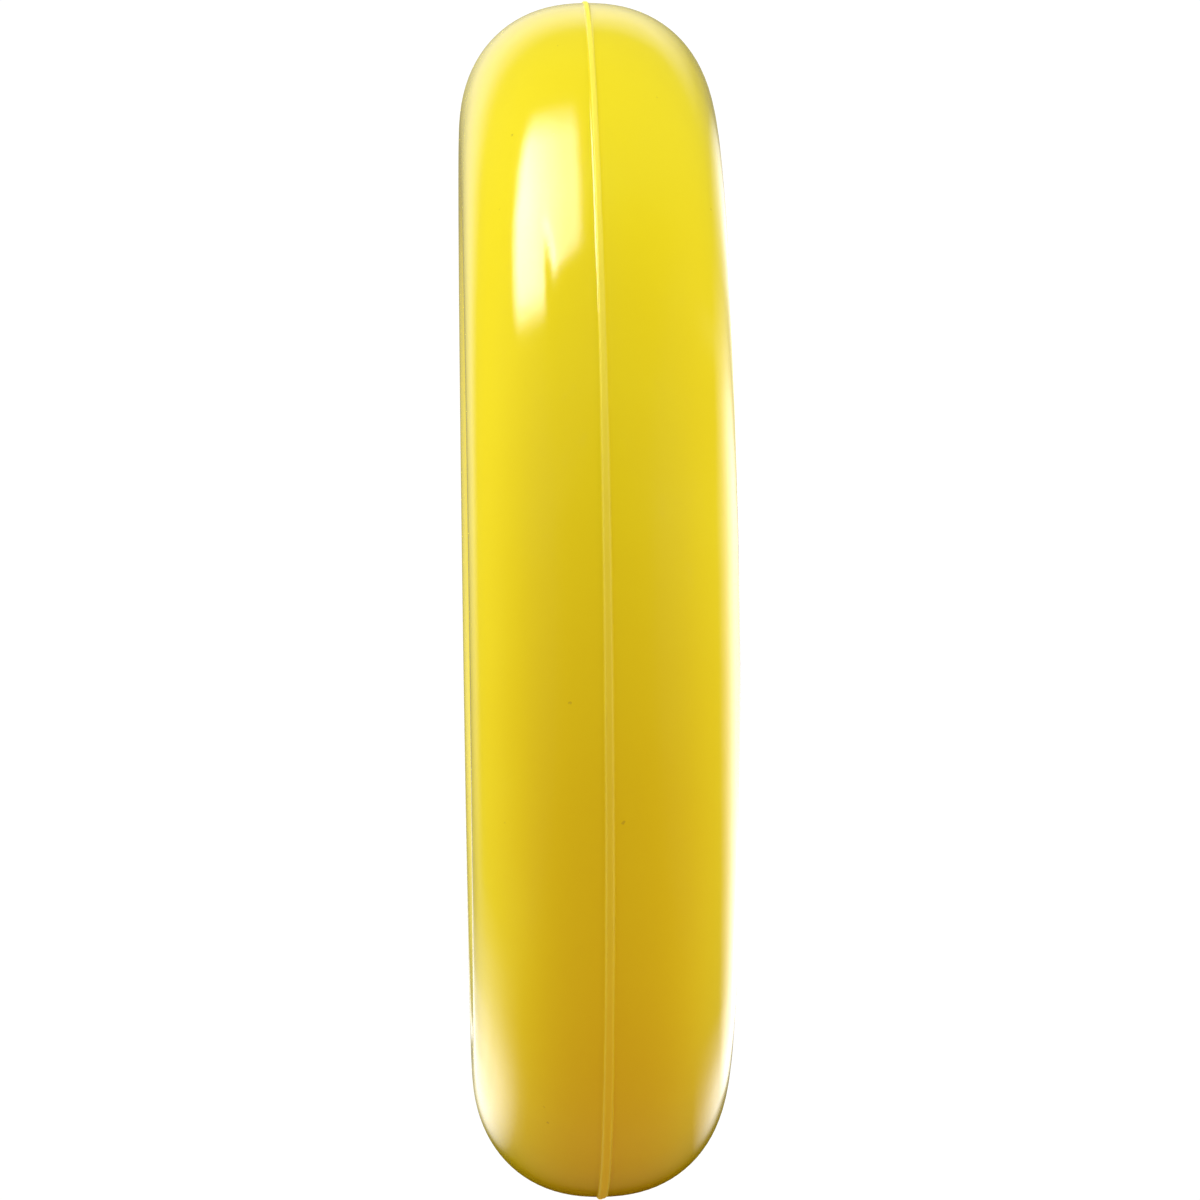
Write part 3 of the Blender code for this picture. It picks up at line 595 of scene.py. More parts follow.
def ring_section():
    near = [z / 1000 for z in (2.4, 1.7, 1.25, 1.05, 0.9, 0.78, 0.66, 0.54, 0.42, 0.2)]
    seam = [-z for z in near] + [0.0] + near[::-1]
    outline = []
    for z in seam:
        reach = RING_HALF_WIDTH * (1 - abs(z / HALF_HEIGHT) ** RIM_SQUARENESS) ** (1 / RIM_SQUARENESS)
        outline.append((RING_RADIUS + reach + rib_rise(z), MID_Z + z))
    first = math.asin((RIB_REACH / HALF_HEIGHT) ** (RIM_SQUARENESS / 2))
    outline += [section_point(angle, 0) for angle in span(first, math.tau - first, 92)[1:-1]]
    return outline


print("ring section:", len(ring_section()), "points")

# %% [markdown]
# A trimmed seam is not the same all the way round. It is narrow on one side and about twice as wide on the
# other, and its edge wanders a little. After the spin, the points near the seam are spread by a factor that
# depends on where they are round the rim.


# %% Spin the ring and trim its seam
def seam_width(azimuth):
    """Width factor of the seam, narrow towards +X and wide towards -X, with a small hand-trimmed wander."""
    wander = 0.05 * math.sin(7 * azimuth + 0.6) + 0.03 * math.sin(17 * azimuth)
    return 0.98 - 0.32 * math.cos(azimuth) + wander


def trim_seam(piece):
    for vertex in piece.data.vertices:
        x, y, z = vertex.co
        rise = z - MID_Z
        if math.hypot(x, y) > RING_RADIUS and abs(rise) < RIB_REACH:
            hold = 1 - abs(rise) / RIB_REACH
            vertex.co.z = MID_Z + rise * (1 + (seam_width(math.atan2(y, x)) - 1) * hold)


ring = lathe("ring_skin", ring_section(), steps=256)
trim_seam(ring)
hollow_section = [section_point(angle, RING_WALL) for angle in span(0, math.tau * 35 / 36, 36)]
hollow = lathe("ring_hollow", hollow_section, steps=128)
pick(hollow)
edit()
bpy.ops.mesh.flip_normals()
leave_edit()
ring.select_set(True)
bpy.context.view_layer.objects.active = ring
bpy.ops.object.join()
print("ring with its hollow:", len(ring.data.polygons), "faces")

# %% [markdown]
# ## The valve
#
# The needle valve sits in the underside, on the +Y side, square to the surface. The hole is cut through
# both shells, which also opens the hollow to the outside, as it is on the real ring when its plug is out.
# The valve itself is a rubber body with a needle channel, closed by a small yellow plug.

# %% Valve place and direction
VALVE_ANGLE = math.radians(72)
VALVE_RADIUS = 0.004
PLAY = 0.0003


def seat_point(angle, offset):
    """Point of the section, offset out of the ring. Angle 0 faces the stone's axis, and up is plus."""
    radial = -math.cos(angle) / RING_HALF_WIDTH
    axial = math.sin(angle) / HALF_HEIGHT
    length = math.hypot(radial, axial)
    return (
        RING_RADIUS - RING_HALF_WIDTH * math.cos(angle) + offset * radial / length,
        MID_Z + HALF_HEIGHT * math.sin(angle) + offset * axial / length,
    )


face = seat_point(-VALVE_ANGLE, 0)
outside = seat_point(-VALVE_ANGLE, 1)
valve_origin = Vector((0, face[0], face[1]))
valve_axis = Vector((0, outside[0] - face[0], outside[1] - face[1])).normalized()
valve_hole = cylinder("valve_hole", VALVE_RADIUS + PLAY, 4 * RING_WALL, valve_origin, valve_axis)
boolean(ring, valve_hole, "DIFFERENCE")
smooth(ring)
hand_over(ring, RING_VINYL, "ring_yellow", "stone", "bumper_ring")

# %% Valve body and plug
valve = lathe(
    "valve_rubber",
    [
        (0.0015, -0.0008), (0.0022, -0.0012), (0.0034, -0.0012), (0.004, -0.0008), (0.004, -0.0043),
        (0.006, -0.0043), (0.006, -0.0063), (0.004, -0.0063), (0.0024, -0.0103), (0.0015, -0.0103),
    ],
    steps=48,
)
soften(valve, 0.00015, 2)
aim(valve, valve_origin, valve_axis)
smooth(valve)
hand_over(valve, RUBBER, "dark_rubber", "stone", "valve_body")

plug = lathe(
    "valve_plug_moulded",
    [
        (0, 0.0001), (0.0008, 0.0001), (0.0011, -0.0001), (0.0024, -0.0001), (0.003, -0.0005),
        (0.0012, -0.0006), (0.0012, -0.0062), (0.0008, -0.0066), (0, -0.0066),
    ],
    steps=40,
    closed=False,
)
aim(plug, valve_origin, valve_axis)
smooth(plug)
hand_over(plug, HANDLE_PLASTIC, "ring_yellow", "stone", "valve_plug")

# %% [markdown]
# The tool was filled from one end of the seam, and the trimmed stub of the runner is still there: a small
# round nub on the rim, towards -X. It is turned from a short outline, and its foot stands in the seam.

# %% Runner stub on the seam
stub = lathe(
    "seam_stub",
    [
        (0, 0.0011), (0.00045, 0.001), (0.0008, 0.0007), (0.001, 0.0002),
        (0.0014, 0.0), (0.0014, -0.0006), (0, -0.0006),
    ],
    steps=32,
    closed=False,
)
aim(stub, (-OUTER_RADIUS, 0, MID_Z), (-1, 0, 0))
smooth(stub)
hand_over(stub, RING_VINYL, "ring_yellow", "stone")

# %% [markdown]
# ## The core shells
#
# Two moulded shells hold the ring between their lips. Their outer face follows the ring's section with a
# constant gap, so the outline reuses the formula of the seat. The upper shell is a dish for the hand, with
# rolled lip, a drip bead round its floor and a wall that thins towards the lip. The lower shell is a cup
# whose floor is stiffened by thin radial ribs.

# %% Outline of the upper shell
floor_low, floor_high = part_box("core_upper")
UNDERSIDE = floor_low.z
DISH_FLOOR = base_low.z - PLAY
SEAT_RADIUS = seat_point(0, SEAT_GAP)[0]
JOINT_RADIUS = SEAT_RADIUS - SHELL_WALL
SPIGOT_RADIUS = JOINT_RADIUS - SEAT_GAP
DISH_RADIUS = SPIGOT_RADIUS - SHELL_WALL
BOLT_HOLE = 0.0043
FILLET = 0.004
BEAD_RADIUS = 0.0574
BEAD_HEIGHT = 0.0008


def wall_at(angle):
    """The dish wall thickens from the lip down to the joint."""
    return SHELL_WALL + (SHELL_WALL + SEAT_GAP) * (1 - angle / LIP_ANGLE) ** 2


def rolled_lip(sign):
    """Half round between the seat side and the inner side of a lip."""
    seat = Vector(seat_point(sign * LIP_ANGLE, SEAT_GAP))
    inner = Vector(seat_point(sign * LIP_ANGLE, SEAT_GAP + SHELL_WALL))
    middle = (seat + inner) / 2
    across = (seat - inner) / 2
    along = Vector((sign * across.y, -sign * across.x))
    turns = [math.radians(a) for a in (22, 45, 68, 90, 112, 135, 158)]
    points = [middle + across * math.cos(turn) + along * math.sin(turn) for turn in turns]
    return [tuple(point) for point in (points if sign < 0 else points[::-1])]


def upper_outline():
    seat = [seat_point(a, SEAT_GAP) for a in span(LIP_ANGLE, 0, 22)]
    below = arc((SPIGOT_RADIUS - FILLET, UNDERSIDE + FILLET), FILLET, 0, -90, 6)
    floor = [(BOLT_HOLE, UNDERSIDE), (BOLT_HOLE, DISH_FLOOR)]
    across = ((-0.0014, 0), (-0.0008, 0.75), (0, 1), (0.0008, 0.75), (0.0014, 0))
    bead = [(BEAD_RADIUS + out, DISH_FLOOR + share * BEAD_HEIGHT) for out, share in across]
    above = arc((DISH_RADIUS - FILLET, DISH_FLOOR + FILLET), FILLET, -90, 0, 8)
    dish = [seat_point(a, SEAT_GAP + wall_at(a)) for a in span(0, LIP_ANGLE, 22)]
    return seat + [(SPIGOT_RADIUS, MID_Z)] + below + floor + bead + above + dish + rolled_lip(1)


dish = lathe("dish_shell", upper_outline(), steps=192)
smooth(dish, 50)
hand_over(dish, CORE_PLASTIC, "core_grey", "stone", "core_upper")


# %% Outline of the lower shell
cup_low, cup_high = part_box("core_lower")
FLOOR_BOTTOM = seat_point(-LIP_ANGLE, SEAT_GAP + SHELL_WALL)[1]
FLOOR_WALL = 0.0036
FLOOR_TOP = FLOOR_BOTTOM + FLOOR_WALL
RECESS_RADIUS = 0.012
RECESS_TOP = 0.009
BOSS_RADIUS = RECESS_RADIUS + FLOOR_WALL
RIB_INNER = 0.017
RIB_OUTER = 0.0500
RIB_DROP = 0.0016


def angle_at(height, offset):
    """Angle at which the offset section reaches a height, by halving the interval."""
    low, high = -math.pi / 2, math.pi / 2
    for _ in range(40):
        middle = (low + high) / 2
        if seat_point(middle, offset)[1] < height:
            low = middle
        else:
            high = middle
    return (low + high) / 2


def lower_outline():
    inner = SEAT_GAP + SHELL_WALL
    seat = [seat_point(a, SEAT_GAP) for a in span(angle_at(cup_high.z, SEAT_GAP), -LIP_ANGLE, 20)]
    foot = [seat_point(-LIP_ANGLE, inner), (RIB_OUTER, FLOOR_BOTTOM), (RIB_INNER, FLOOR_BOTTOM)]
    centre = [(RECESS_RADIUS, FLOOR_BOTTOM), (RECESS_RADIUS, RECESS_TOP), (BOLT_HOLE, RECESS_TOP)]
    boss_top = RECESS_TOP + FLOOR_WALL
    centre += [(BOLT_HOLE, boss_top), (BOSS_RADIUS, boss_top), (BOSS_RADIUS, FLOOR_TOP)]
    wall = [seat_point(a, inner) for a in span(angle_at(FLOOR_TOP, inner), angle_at(cup_high.z, inner), 18)]
    return seat + rolled_lip(-1) + foot + centre + wall


SECTORS = 192
cup = lathe("cup_shell", lower_outline(), steps=SECTORS)
print("cup shell:", len(cup.data.polygons), "faces before its ribs")

# %% [markdown]
# The ribs are pulled out of the floor itself: every sixteenth sector of the floor between two radii is
# selected and extruded down. They stay above the running band's face, so they never touch the ice.

# %% Radial ribs under the floor
RIB_EVERY = 16


def on_rib(face):
    x, y, z = face.center
    radius = math.hypot(x, y)
    sector = int((math.atan2(y, x) % math.tau) / math.tau * SECTORS)
    under = face.normal.z < -0.9 and abs(z - FLOOR_BOTTOM) < 0.0002
    return under and RIB_INNER < radius < RIB_OUTER and sector % RIB_EVERY == 0


edit_where(cup, "FACE", on_rib)
bpy.ops.mesh.extrude_region_move(TRANSFORM_OT_translate={"value": (0, 0, -RIB_DROP)})
leave_edit()
smooth(cup, 40)
hand_over(cup, CORE_PLASTIC, "core_grey", "stone", "core_lower")

# %% [markdown]
# ## The running band
#
# The stone slides on a narrow ring of polished steel. Only its flat face touches the ice, so its two lower
# edges are well rounded. A thin flange inside it takes the screws.

# %% Turn the running band
band_low, band_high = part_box("running_band")
BAND_OUT = band_high.x
BAND_IN = BAND_OUT - 0.006
BAND_TOP = band_high.z
FLANGE_IN = BAND_IN - 0.0075
FLANGE_BOTTOM = BAND_TOP - 0.00166
EDGE = 0.001

band_outline = [(BAND_OUT - 0.0002, BAND_TOP), (BAND_OUT, BAND_TOP - 0.0002)]
band_outline += arc((BAND_OUT - EDGE, EDGE), EDGE, 0, -90, 7)
band_outline += arc((BAND_IN + EDGE, EDGE), EDGE, -90, -180, 7)
band_outline += [(BAND_IN, FLANGE_BOTTOM - 0.0006), (BAND_IN - 0.0006, FLANGE_BOTTOM)]
band_outline += [(FLANGE_IN + 0.0003, FLANGE_BOTTOM), (FLANGE_IN, FLANGE_BOTTOM + 0.0003)]
band_outline += [(FLANGE_IN, BAND_TOP)]
band = lathe("running_band_polished", band_outline, steps=192)
smooth(band, 35)
hand_over(band, BAND, "band_steel", "stone", "running_band")

# %% [markdown]
# ## The handle base
#
# The base is a moulded plate with two ears. Each ear has a wall across its back, which is the stop of the
# upright handle. The plate is turned, and the ears are blocks whose front corner is rounded in edit mode.
# Their edges are softened before all are joined into one moulding, so that the flat of the plate stays
# flat.

# %% Plate of the base
BASE_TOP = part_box("centre_cap")[0].z - PLAY
BASE_RADIUS = base_high.x
ear_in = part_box("pivot_nut_right")[1].x + PLAY
ear_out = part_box("pivot_washer_right")[0].x - PLAY
STOP_FACE = -ARM_HALF - PLAY
STOP_BACK = STOP_FACE - 0.004
OVERLAP = 0.001
GUSSET_LENGTH = 0.004
GUSSET_HALF = 0.0015
PIVOT_BORE = 0.0033

base = lathe(
    "base_moulding",
    [
        (BASE_RADIUS - 0.0008, BASE_TOP), (BASE_RADIUS, BASE_TOP - 0.0008),
        (BASE_RADIUS, base_low.z + 0.0003), (BASE_RADIUS - 0.0003, base_low.z),
        (BOLT_HOLE, base_low.z), (BOLT_HOLE, BASE_TOP),
        (0.0135, BASE_TOP), (0.0139, BASE_TOP + 0.0005), (0.0149, BASE_TOP + 0.0005), (0.0153, BASE_TOP),
    ],
    steps=128,
)
print("plate radius", round(BASE_RADIUS, 4), "ears from", round(ear_in, 4), "to", round(ear_out, 4))


# %% Ears and stops
def round_edges(piece, width, segments, test):
    """Bevels the edges whose two ends pass the test."""
    edit_where(piece, "VERT", lambda vertex: test(vertex.co))
    bpy.ops.mesh.select_mode(type="EDGE")
    bpy.ops.mesh.bevel(offset=width, segments=segments, affect="EDGES")
    leave_edit()


def build_bracket(side):
    """An ear, its stop and its gusset on one side of the base, joined."""
    foot = BASE_TOP - 0.0012
    inside = ear_in + OVERLAP
    ear = block("ear", (side * ear_in, STOP_BACK, foot), (side * ear_out, ARM_HALF, base_high.z))
    round_edges(ear, ARM_HALF * 0.96, 14, lambda c: c.y > 0 and c.z > PIVOT.z)
    stop_top = (side * arm_high.x, STOP_FACE, base_high.z - 0.0003)
    stop = block("stop", (side * inside, STOP_BACK + 0.0002, foot), stop_top)
    round_edges(stop, 0.0022, 5, lambda c: abs(c.x) > ear_out and c.z > PIVOT.z)
    gusset_foot = (side * (ear_in - GUSSET_LENGTH), -GUSSET_HALF, foot)
    gusset = block("gusset", gusset_foot, (side * inside, GUSSET_HALF, BASE_TOP + 0.006))
    round_edges(gusset, 0.0038, 6, lambda c: abs(c.x) < ear_in - OVERLAP and c.z > BASE_TOP)
    boolean(ear, stop, "UNION")
    boolean(ear, gusset, "UNION")
    soften(ear, 0.00035, 2, 40)
    return ear


soften(base, 0.00035, 2, 40)
for side in (-1, 1):
    boolean(base, build_bracket(side), "UNION")
boolean(base, cylinder("pivot_hole", PIVOT_BORE, 0.12, PIVOT, (1, 0, 0)), "DIFFERENCE")
smooth(base, 30)
hand_over(base, CORE_PLASTIC, "core_grey", "stone", "handle_base")

# %% [markdown]
# ## The cap over the nut
#
# A small domed cap hides the nut. Its top has a shallow round dimple, where a maker would put a club badge.

# %% Turn the cap
cap_low, cap_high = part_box("centre_cap")
CAP_OUT = cap_high.x
CAP_TOP = cap_high.z
CAP_IN = CAP_OUT - 0.0016
SHOULDER = 0.0054
cap_outline = [(0, CAP_TOP - 0.0009), (0.0052, CAP_TOP - 0.0009), (0.0058, CAP_TOP - 0.0005)]
cap_outline += arc((CAP_OUT - SHOULDER, CAP_TOP - SHOULDER), SHOULDER, 84, 0, 9)
cap_outline += [(CAP_OUT, cap_low.z + 0.0004), (CAP_OUT - 0.0004, cap_low.z), (CAP_IN, cap_low.z)]
cap_outline += [(CAP_IN, CAP_TOP - 0.0056), (CAP_OUT - 0.005, CAP_TOP - 0.0026), (0, CAP_TOP - 0.0026)]
cap = lathe("cap_domed", cap_outline, steps=96, closed=False)
smooth(cap, 35)
hand_over(cap, HANDLE_PLASTIC, "handle_yellow", "stone", "centre_cap")

# %% [markdown]
# ## The handle
#
# The handle is two side arms, a steel bar between them and a rubber grip on the bar. An arm is a cylinder
# whose far half is pulled away to the grip: the primitive gives both round ends for free. A pocket in its
# outer face saves material and stiffens it.


# %% Side arms
def stadium(name, radius, depth, x, near, far):
    """A flat bar with round ends, lying along Y at the pivot's height."""
    piece = cylinder(name, radius, depth, (x, 0, PIVOT.z), (1, 0, 0), sides=64)
    edit_where(piece, "VERT", lambda vertex: vertex.co.y > MERGE_DISTANCE)
    bpy.ops.transform.translate(value=(0, far - near, 0))
    bpy.ops.mesh.select_all(action="SELECT")
    bpy.ops.transform.translate(value=(0, near, 0))
    leave_edit()
    return piece


arm_thickness = arm_high.x - arm_low.x
POCKET_DEPTH = 0.0011
SCREW_BORE = 0.0028
for side, word in ((-1, "left"), (1, "right")):
    middle_x = side * (arm_high.x + arm_low.x) / 2
    outer_x = side * arm_high.x
    arm = stadium(f"arm_{word}", ARM_HALF, arm_thickness, middle_x, 0, ARM_LENGTH)
    pocket = stadium("pocket", ARM_HALF - 0.0034, 2 * POCKET_DEPTH, outer_x, 0.0145, ARM_LENGTH - 0.0125)
    boolean(arm, pocket, "DIFFERENCE")
    for bore, y in ((PIVOT_BORE, 0), (SCREW_BORE, ARM_LENGTH)):
        boolean(arm, cylinder("bore", bore, 0.02, (middle_x, y, PIVOT.z), (1, 0, 0)), "DIFFERENCE")
    soften(arm, 0.0006, 3, 40)
    smooth(arm, 40)
    hand_over(arm, HANDLE_PLASTIC, "handle_yellow", "handle", f"handle_arm_{word}")

# %% [markdown]
# The grip is a rubber sleeve with a belly in the middle, a collar at each end and shallow rings under the
# fingers. Its outline is a parabola, from which a cosine takes the rings.

# %% Grip and bar
sleeve_low, sleeve_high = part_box("grip_sleeve")
bar_low, bar_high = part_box("grip_bar")
GRIP_RADIUS = (sleeve_high.z - sleeve_low.z) / 2
GRIP_HALF = sleeve_high.x
GRIP_END = 0.0100
GRIP_BORE = 0.0063
GRIP_CHAMFER = 0.0006
COLLAR = 0.004
FINGER_RINGS = 9
RING_DEPTH = 0.0005


def grip_radius(x):
    belly = GRIP_END + (GRIP_RADIUS - GRIP_END) * (1 - (x / GRIP_HALF) ** 2)
    ringed = GRIP_HALF - COLLAR
    if abs(x) > ringed:
        return belly - (GRIP_CHAMFER if abs(x) == GRIP_HALF else 0)
    wave = 0.5 - 0.5 * math.cos(math.tau * FINGER_RINGS * (x + ringed) / (2 * ringed))
    return belly - RING_DEPTH * wave


outline = [(grip_radius(x), x) for x in span(GRIP_HALF, -GRIP_HALF, 111)]
outline += [(GRIP_BORE, -GRIP_HALF), (GRIP_BORE, GRIP_HALF)]
grip = lathe("grip_rubber", outline, steps=72)
aim(grip, (0, ARM_LENGTH, PIVOT.z), (1, 0, 0))
smooth(grip, 45)
hand_over(grip, RUBBER, "dark_rubber", "handle", "grip_sleeve")

bar_radius = (bar_high.z - bar_low.z) / 2
bar = cylinder("grip_rod", bar_radius, bar_high.x * 2, (0, ARM_LENGTH, PIVOT.z), (1, 0, 0), sides=64)
for side in (-1, 1):
    bar_end = (side * bar_high.x, ARM_LENGTH, PIVOT.z)
    boolean(bar, cylinder("bore", SCREW_BORE, 0.024, bar_end, (1, 0, 0), sides=32), "DIFFERENCE")
soften(bar, 0.0004, 2, 40)
smooth(bar, 40)
hand_over(bar, ZINC, "bright_steel", "handle", "grip_bar")

# %% [markdown]
# ## Rest pads
#
# Two small rubber buttons take the folded grip. They are turned with a domed top and a foot flange.

# %% Rest pads
DOME = 0.0011
for word in ("left", "right"):
    low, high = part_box(f"rest_pad_{word}")
    middle = ((low.x + high.x) / 2, (low.y + high.y) / 2, 0)
    radius = (high.x - low.x) / 2
    neck = radius * 0.84
    turns = span(0.3, math.pi / 2, 6)
    profile = [(0, high.z)]
    profile += [(neck * math.sin(turn), high.z - DOME * (1 - math.cos(turn))) for turn in turns]
    profile += [(neck, low.z + 0.0012), (radius * 0.9, low.z + 0.0008), (radius, low.z + 0.0007)]
    profile += [(radius, low.z), (0, low.z)]
    pad = lathe(f"pad_{word}", profile, steps=48, closed=False)
    pad.location = middle
    settle(pad)
    smooth(pad, 35)
    hand_over(pad, RUBBER, "dark_rubber", "stone", f"rest_pad_{word}")

# %% [markdown]
# ## Fasteners
#
# A screw head is a turned button with a hexagon socket, so one function makes them all, and only the sizes
# differ. Its shank carries a few thread grooves. A nut starts as a six-sided cylinder. Its corners are
# taken off by a double cone, which is how real nuts are chamfered, and then it is bored. A washer is a
# turned ring.


# %% Screw, nut and washer makers
def thread(radius, top, length, pitch):
    """Outline of ridges down a shank, as rings, which is what a thread looks like from the side."""
    stops = []
    z = top
    while z - pitch > top - length:
        stops += [(radius, z), (radius, z - 0.3 * pitch), (radius - 0.35 * pitch, z - 0.65 * pitch)]
        z -= pitch
    return stops


def screw(name, head, height, shank, length, pitch, threaded):
    """A button-head screw with its head above the origin and its shank below it."""
    plain = length - threaded
    profile = [(0, height)]
    profile += [(head * 0.72, height), (head * 0.84, height * 0.93), (head * 0.94, height * 0.72)]
    profile += [(head, height * 0.4), (head, height * 0.08), (head * 0.985, 0), (shank, 0), (shank, -plain)]
    profile += thread(shank, -plain, threaded - shank * 0.4, pitch)
    profile += [(shank * 0.7, -length), (0, -length)]
    piece = lathe(name, profile, steps=40, closed=False)
    socket = cylinder("socket", shank * 0.78, height * 1.3, (0, 0, height), sides=6)
    boolean(piece, socket, "DIFFERENCE")
    return piece


def nut(name, radius, height, bore):
    """A hexagon nut round the origin, chamfered on both faces."""
    piece = cylinder(name, radius, height, (0, 0, 0), sides=6)
    rim = radius * 0.91
    slope = (radius - rim) * 0.6
    half = height / 2
    tip = rim - half * 1.2
    profile = [(0, height), (tip, height), (radius, half - slope)]
    profile += [(r, -z) for r, z in reversed(profile)]
    cone = lathe("cone", profile, steps=72, closed=False)
    boolean(piece, cone, "INTERSECT")
    boolean(piece, cylinder("bore", bore, height * 2, (0, 0, 0), sides=40), "DIFFERENCE")
    return piece


def washer(name, outer, inner, bottom, top):
    piece = lathe(name, [(outer, top), (outer, bottom), (inner, bottom), (inner, top)], steps=64)
    soften(piece, (top - bottom) * 0.15, 2)
    return piece


print("fastener makers ready")


# %% Pivot hardware and arm screws
WASHER_RADIUS = 0.0075


def finish_metal(piece, body, *nodes):
    smooth(piece, 32)
    hand_over(piece, ZINC, "bright_steel", body, *nodes)


for side, word in ((-1, "left"), (1, "right")):
    outwards = (side, 0, 0)
    low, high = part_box(f"pivot_bolt_{word}")
    seat_x = side * (arm_high.x + PLAY)
    tip_x = low.x if side > 0 else high.x
    head = (high.z - low.z) / 2
    bolt = screw(f"pivot_bolt_steel_{word}", head, 0.0027, 0.003, abs(seat_x - tip_x), 0.0007, 0.007)
    aim(bolt, (seat_x, 0, PIVOT.z), outwards)
    finish_metal(bolt, "stone", f"pivot_bolt_{word}")

    low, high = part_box(f"arm_screw_{word}")
    tip_x = low.x if side > 0 else high.x
    head = (high.z - low.z) / 2
    arm_screw = screw(f"arm_screw_steel_{word}", head, 0.0025, 0.0025, abs(seat_x - tip_x), 0.0006, 0.010)
    aim(arm_screw, (seat_x, ARM_LENGTH, PIVOT.z), outwards)
    finish_metal(arm_screw, "handle", f"arm_screw_{word}")

    low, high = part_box(f"pivot_nut_{word}")
    lock = nut(f"lock_nut_{word}", (high.y - low.y) / 2, high.x - low.x, PIVOT_BORE)
    aim(lock, ((low.x + high.x) / 2, 0, PIVOT.z), outwards)
    finish_metal(lock, "stone", f"pivot_nut_{word}")

    low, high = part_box(f"pivot_washer_{word}")
    half = (high.x - low.x) / 2
    disc = washer(f"friction_washer_{word}", WASHER_RADIUS, PIVOT_BORE, -half, half)
    aim(disc, ((low.x + high.x) / 2, 0, PIVOT.z), outwards)
    finish_metal(disc, "stone", f"pivot_washer_{word}")

# %% [markdown]
# The small screws of the base and of the running band are the same screw, with its head up on the base and
# down on the band. One is modelled for each group and copied to its places.


# %% Base and band screws
SMALL_HEAD = 0.0014
BIG_HEAD = 0.005


def screw_set(prefix, count, direction):
    """Copies one small screw to the places of a group of nodes."""
    low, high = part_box(f"{prefix}_1")
    radius = (high.x - low.x) / 2
    length = high.z - low.z - SMALL_HEAD
    first = screw(f"{prefix}_steel_1", radius, SMALL_HEAD, 0.0015, length, 0.0006, 0.0035)
    for index in range(1, count + 1):
        low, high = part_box(f"{prefix}_{index}")
        piece = first if index == count else twin(first, f"{prefix}_steel_{index}")
        seat = high.z - SMALL_HEAD if direction > 0 else low.z + SMALL_HEAD
        aim(piece, ((low.x + high.x) / 2, (low.y + high.y) / 2, seat), (0, 0, direction))
        piece.name = f"{prefix}_steel_{index}"
        finish_metal(piece, "stone", f"{prefix}_{index}")


screw_set("base_screw", 4, 1)
screw_set("band_screw", 6, -1)

# %% Centre bolt, washers and nut
low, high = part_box("centre_bolt")
length = high.z - low.z - BIG_HEAD
centre = screw("centre_bolt_steel", (high.x - low.x) / 2, BIG_HEAD, 0.004, length, 0.00125, 0.012)
aim(centre, (0, 0, low.z + BIG_HEAD), (0, 0, -1))
finish_metal(centre, "stone", "centre_bolt")

low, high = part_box("centre_nut")
big_nut = nut("centre_nut_steel", (high.y - low.y) / 2, high.z - low.z, BOLT_HOLE)
aim(big_nut, (0, 0, (low.z + high.z) / 2), (0, 0, 1))
finish_metal(big_nut, "stone", "centre_nut")

for name in ("lower_washer", "upper_washer"):
    low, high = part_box(name)
    finish_metal(washer(f"{name}_steel", high.x, BOLT_HOLE, low.z, high.z), "stone", name)

# %% [markdown]
# ## What stays inside
#
# The ballast, its pad, the gasket and the spacer tube are closed in and have the right shape already, so
# those nodes stay and only get a better finish.

# %% Finishes of the inner parts
INNER_FINISHES = {
    "ballast_plate_lower": BALLAST,
    "ballast_plate_upper": BALLAST,
    "ballast_pad": FOAM,
    "shell_gasket": RUBBER,
    "spacer_tube": ZINC,
}
for name, finish in INNER_FINISHES.items():
    slots = frame["nodes"][name].data.materials
    slots.clear()
    slots.append(finish)
print("inner parts finished:", len(INNER_FINISHES))

# %% [markdown]
# ## Studio
#
# The stone stands on a plain pale table in a white room. Yellow plastic looks best in broad light from both
# sides and from one end, so wide soft lights do the shading and never show as reflections. The light that a
# yellow part throws back on itself is warmer than the lamps, and three weak warm lights stand for it. The
# reflections come from boards in the room, which only glossy rays see: one set of lamps for the form, and
# boards for the shine.

# %% Table
WHITE_RADIANCE = 1.05

deselect()
bpy.ops.mesh.primitive_plane_add(size=6.0, location=(0, 0, 0))
table = bpy.context.object
table.name = "table"
table_paint, tree, shader = new_material("table_paint")
grain = use_group(tree, MOULDED_SKIN, Swell_Scale=8.0, Peel_Scale=400.0, Peel_Share=0.2)
tone = blend_colour(tree, grain.outputs["Drift"], (0.80, 0.80, 0.80, 1), (0.82, 0.82, 0.82, 1))
feed(tree, shader.inputs["Base Color"], tone)
feed(tree, shader.inputs["Roughness"], 0.6)
glow = node(tree, "ShaderNodeEmission", Color=(1, 1, 1, 1), Strength=WHITE_RADIANCE)
facing = node(tree, "ShaderNodeLayerWeight", Blend=0.5).outputs["Facing"]
glancing = spread(tree, facing, 0.76, 0.87, 0.0, 1.0)
mixed = node(tree, "ShaderNodeMixShader", Fac=glancing)
tree.links.new(shader.outputs["BSDF"], mixed.inputs[1])
tree.links.new(glow.outputs["Emission"], mixed.inputs[2])
tree.links.new(mixed.outputs["Shader"], tree.nodes["Material Output"].inputs["Surface"])
table.data.materials.append(table_paint)
table.visible_glossy = False
table.visible_diffuse = False
table.visible_shadow = False
print("table ready")


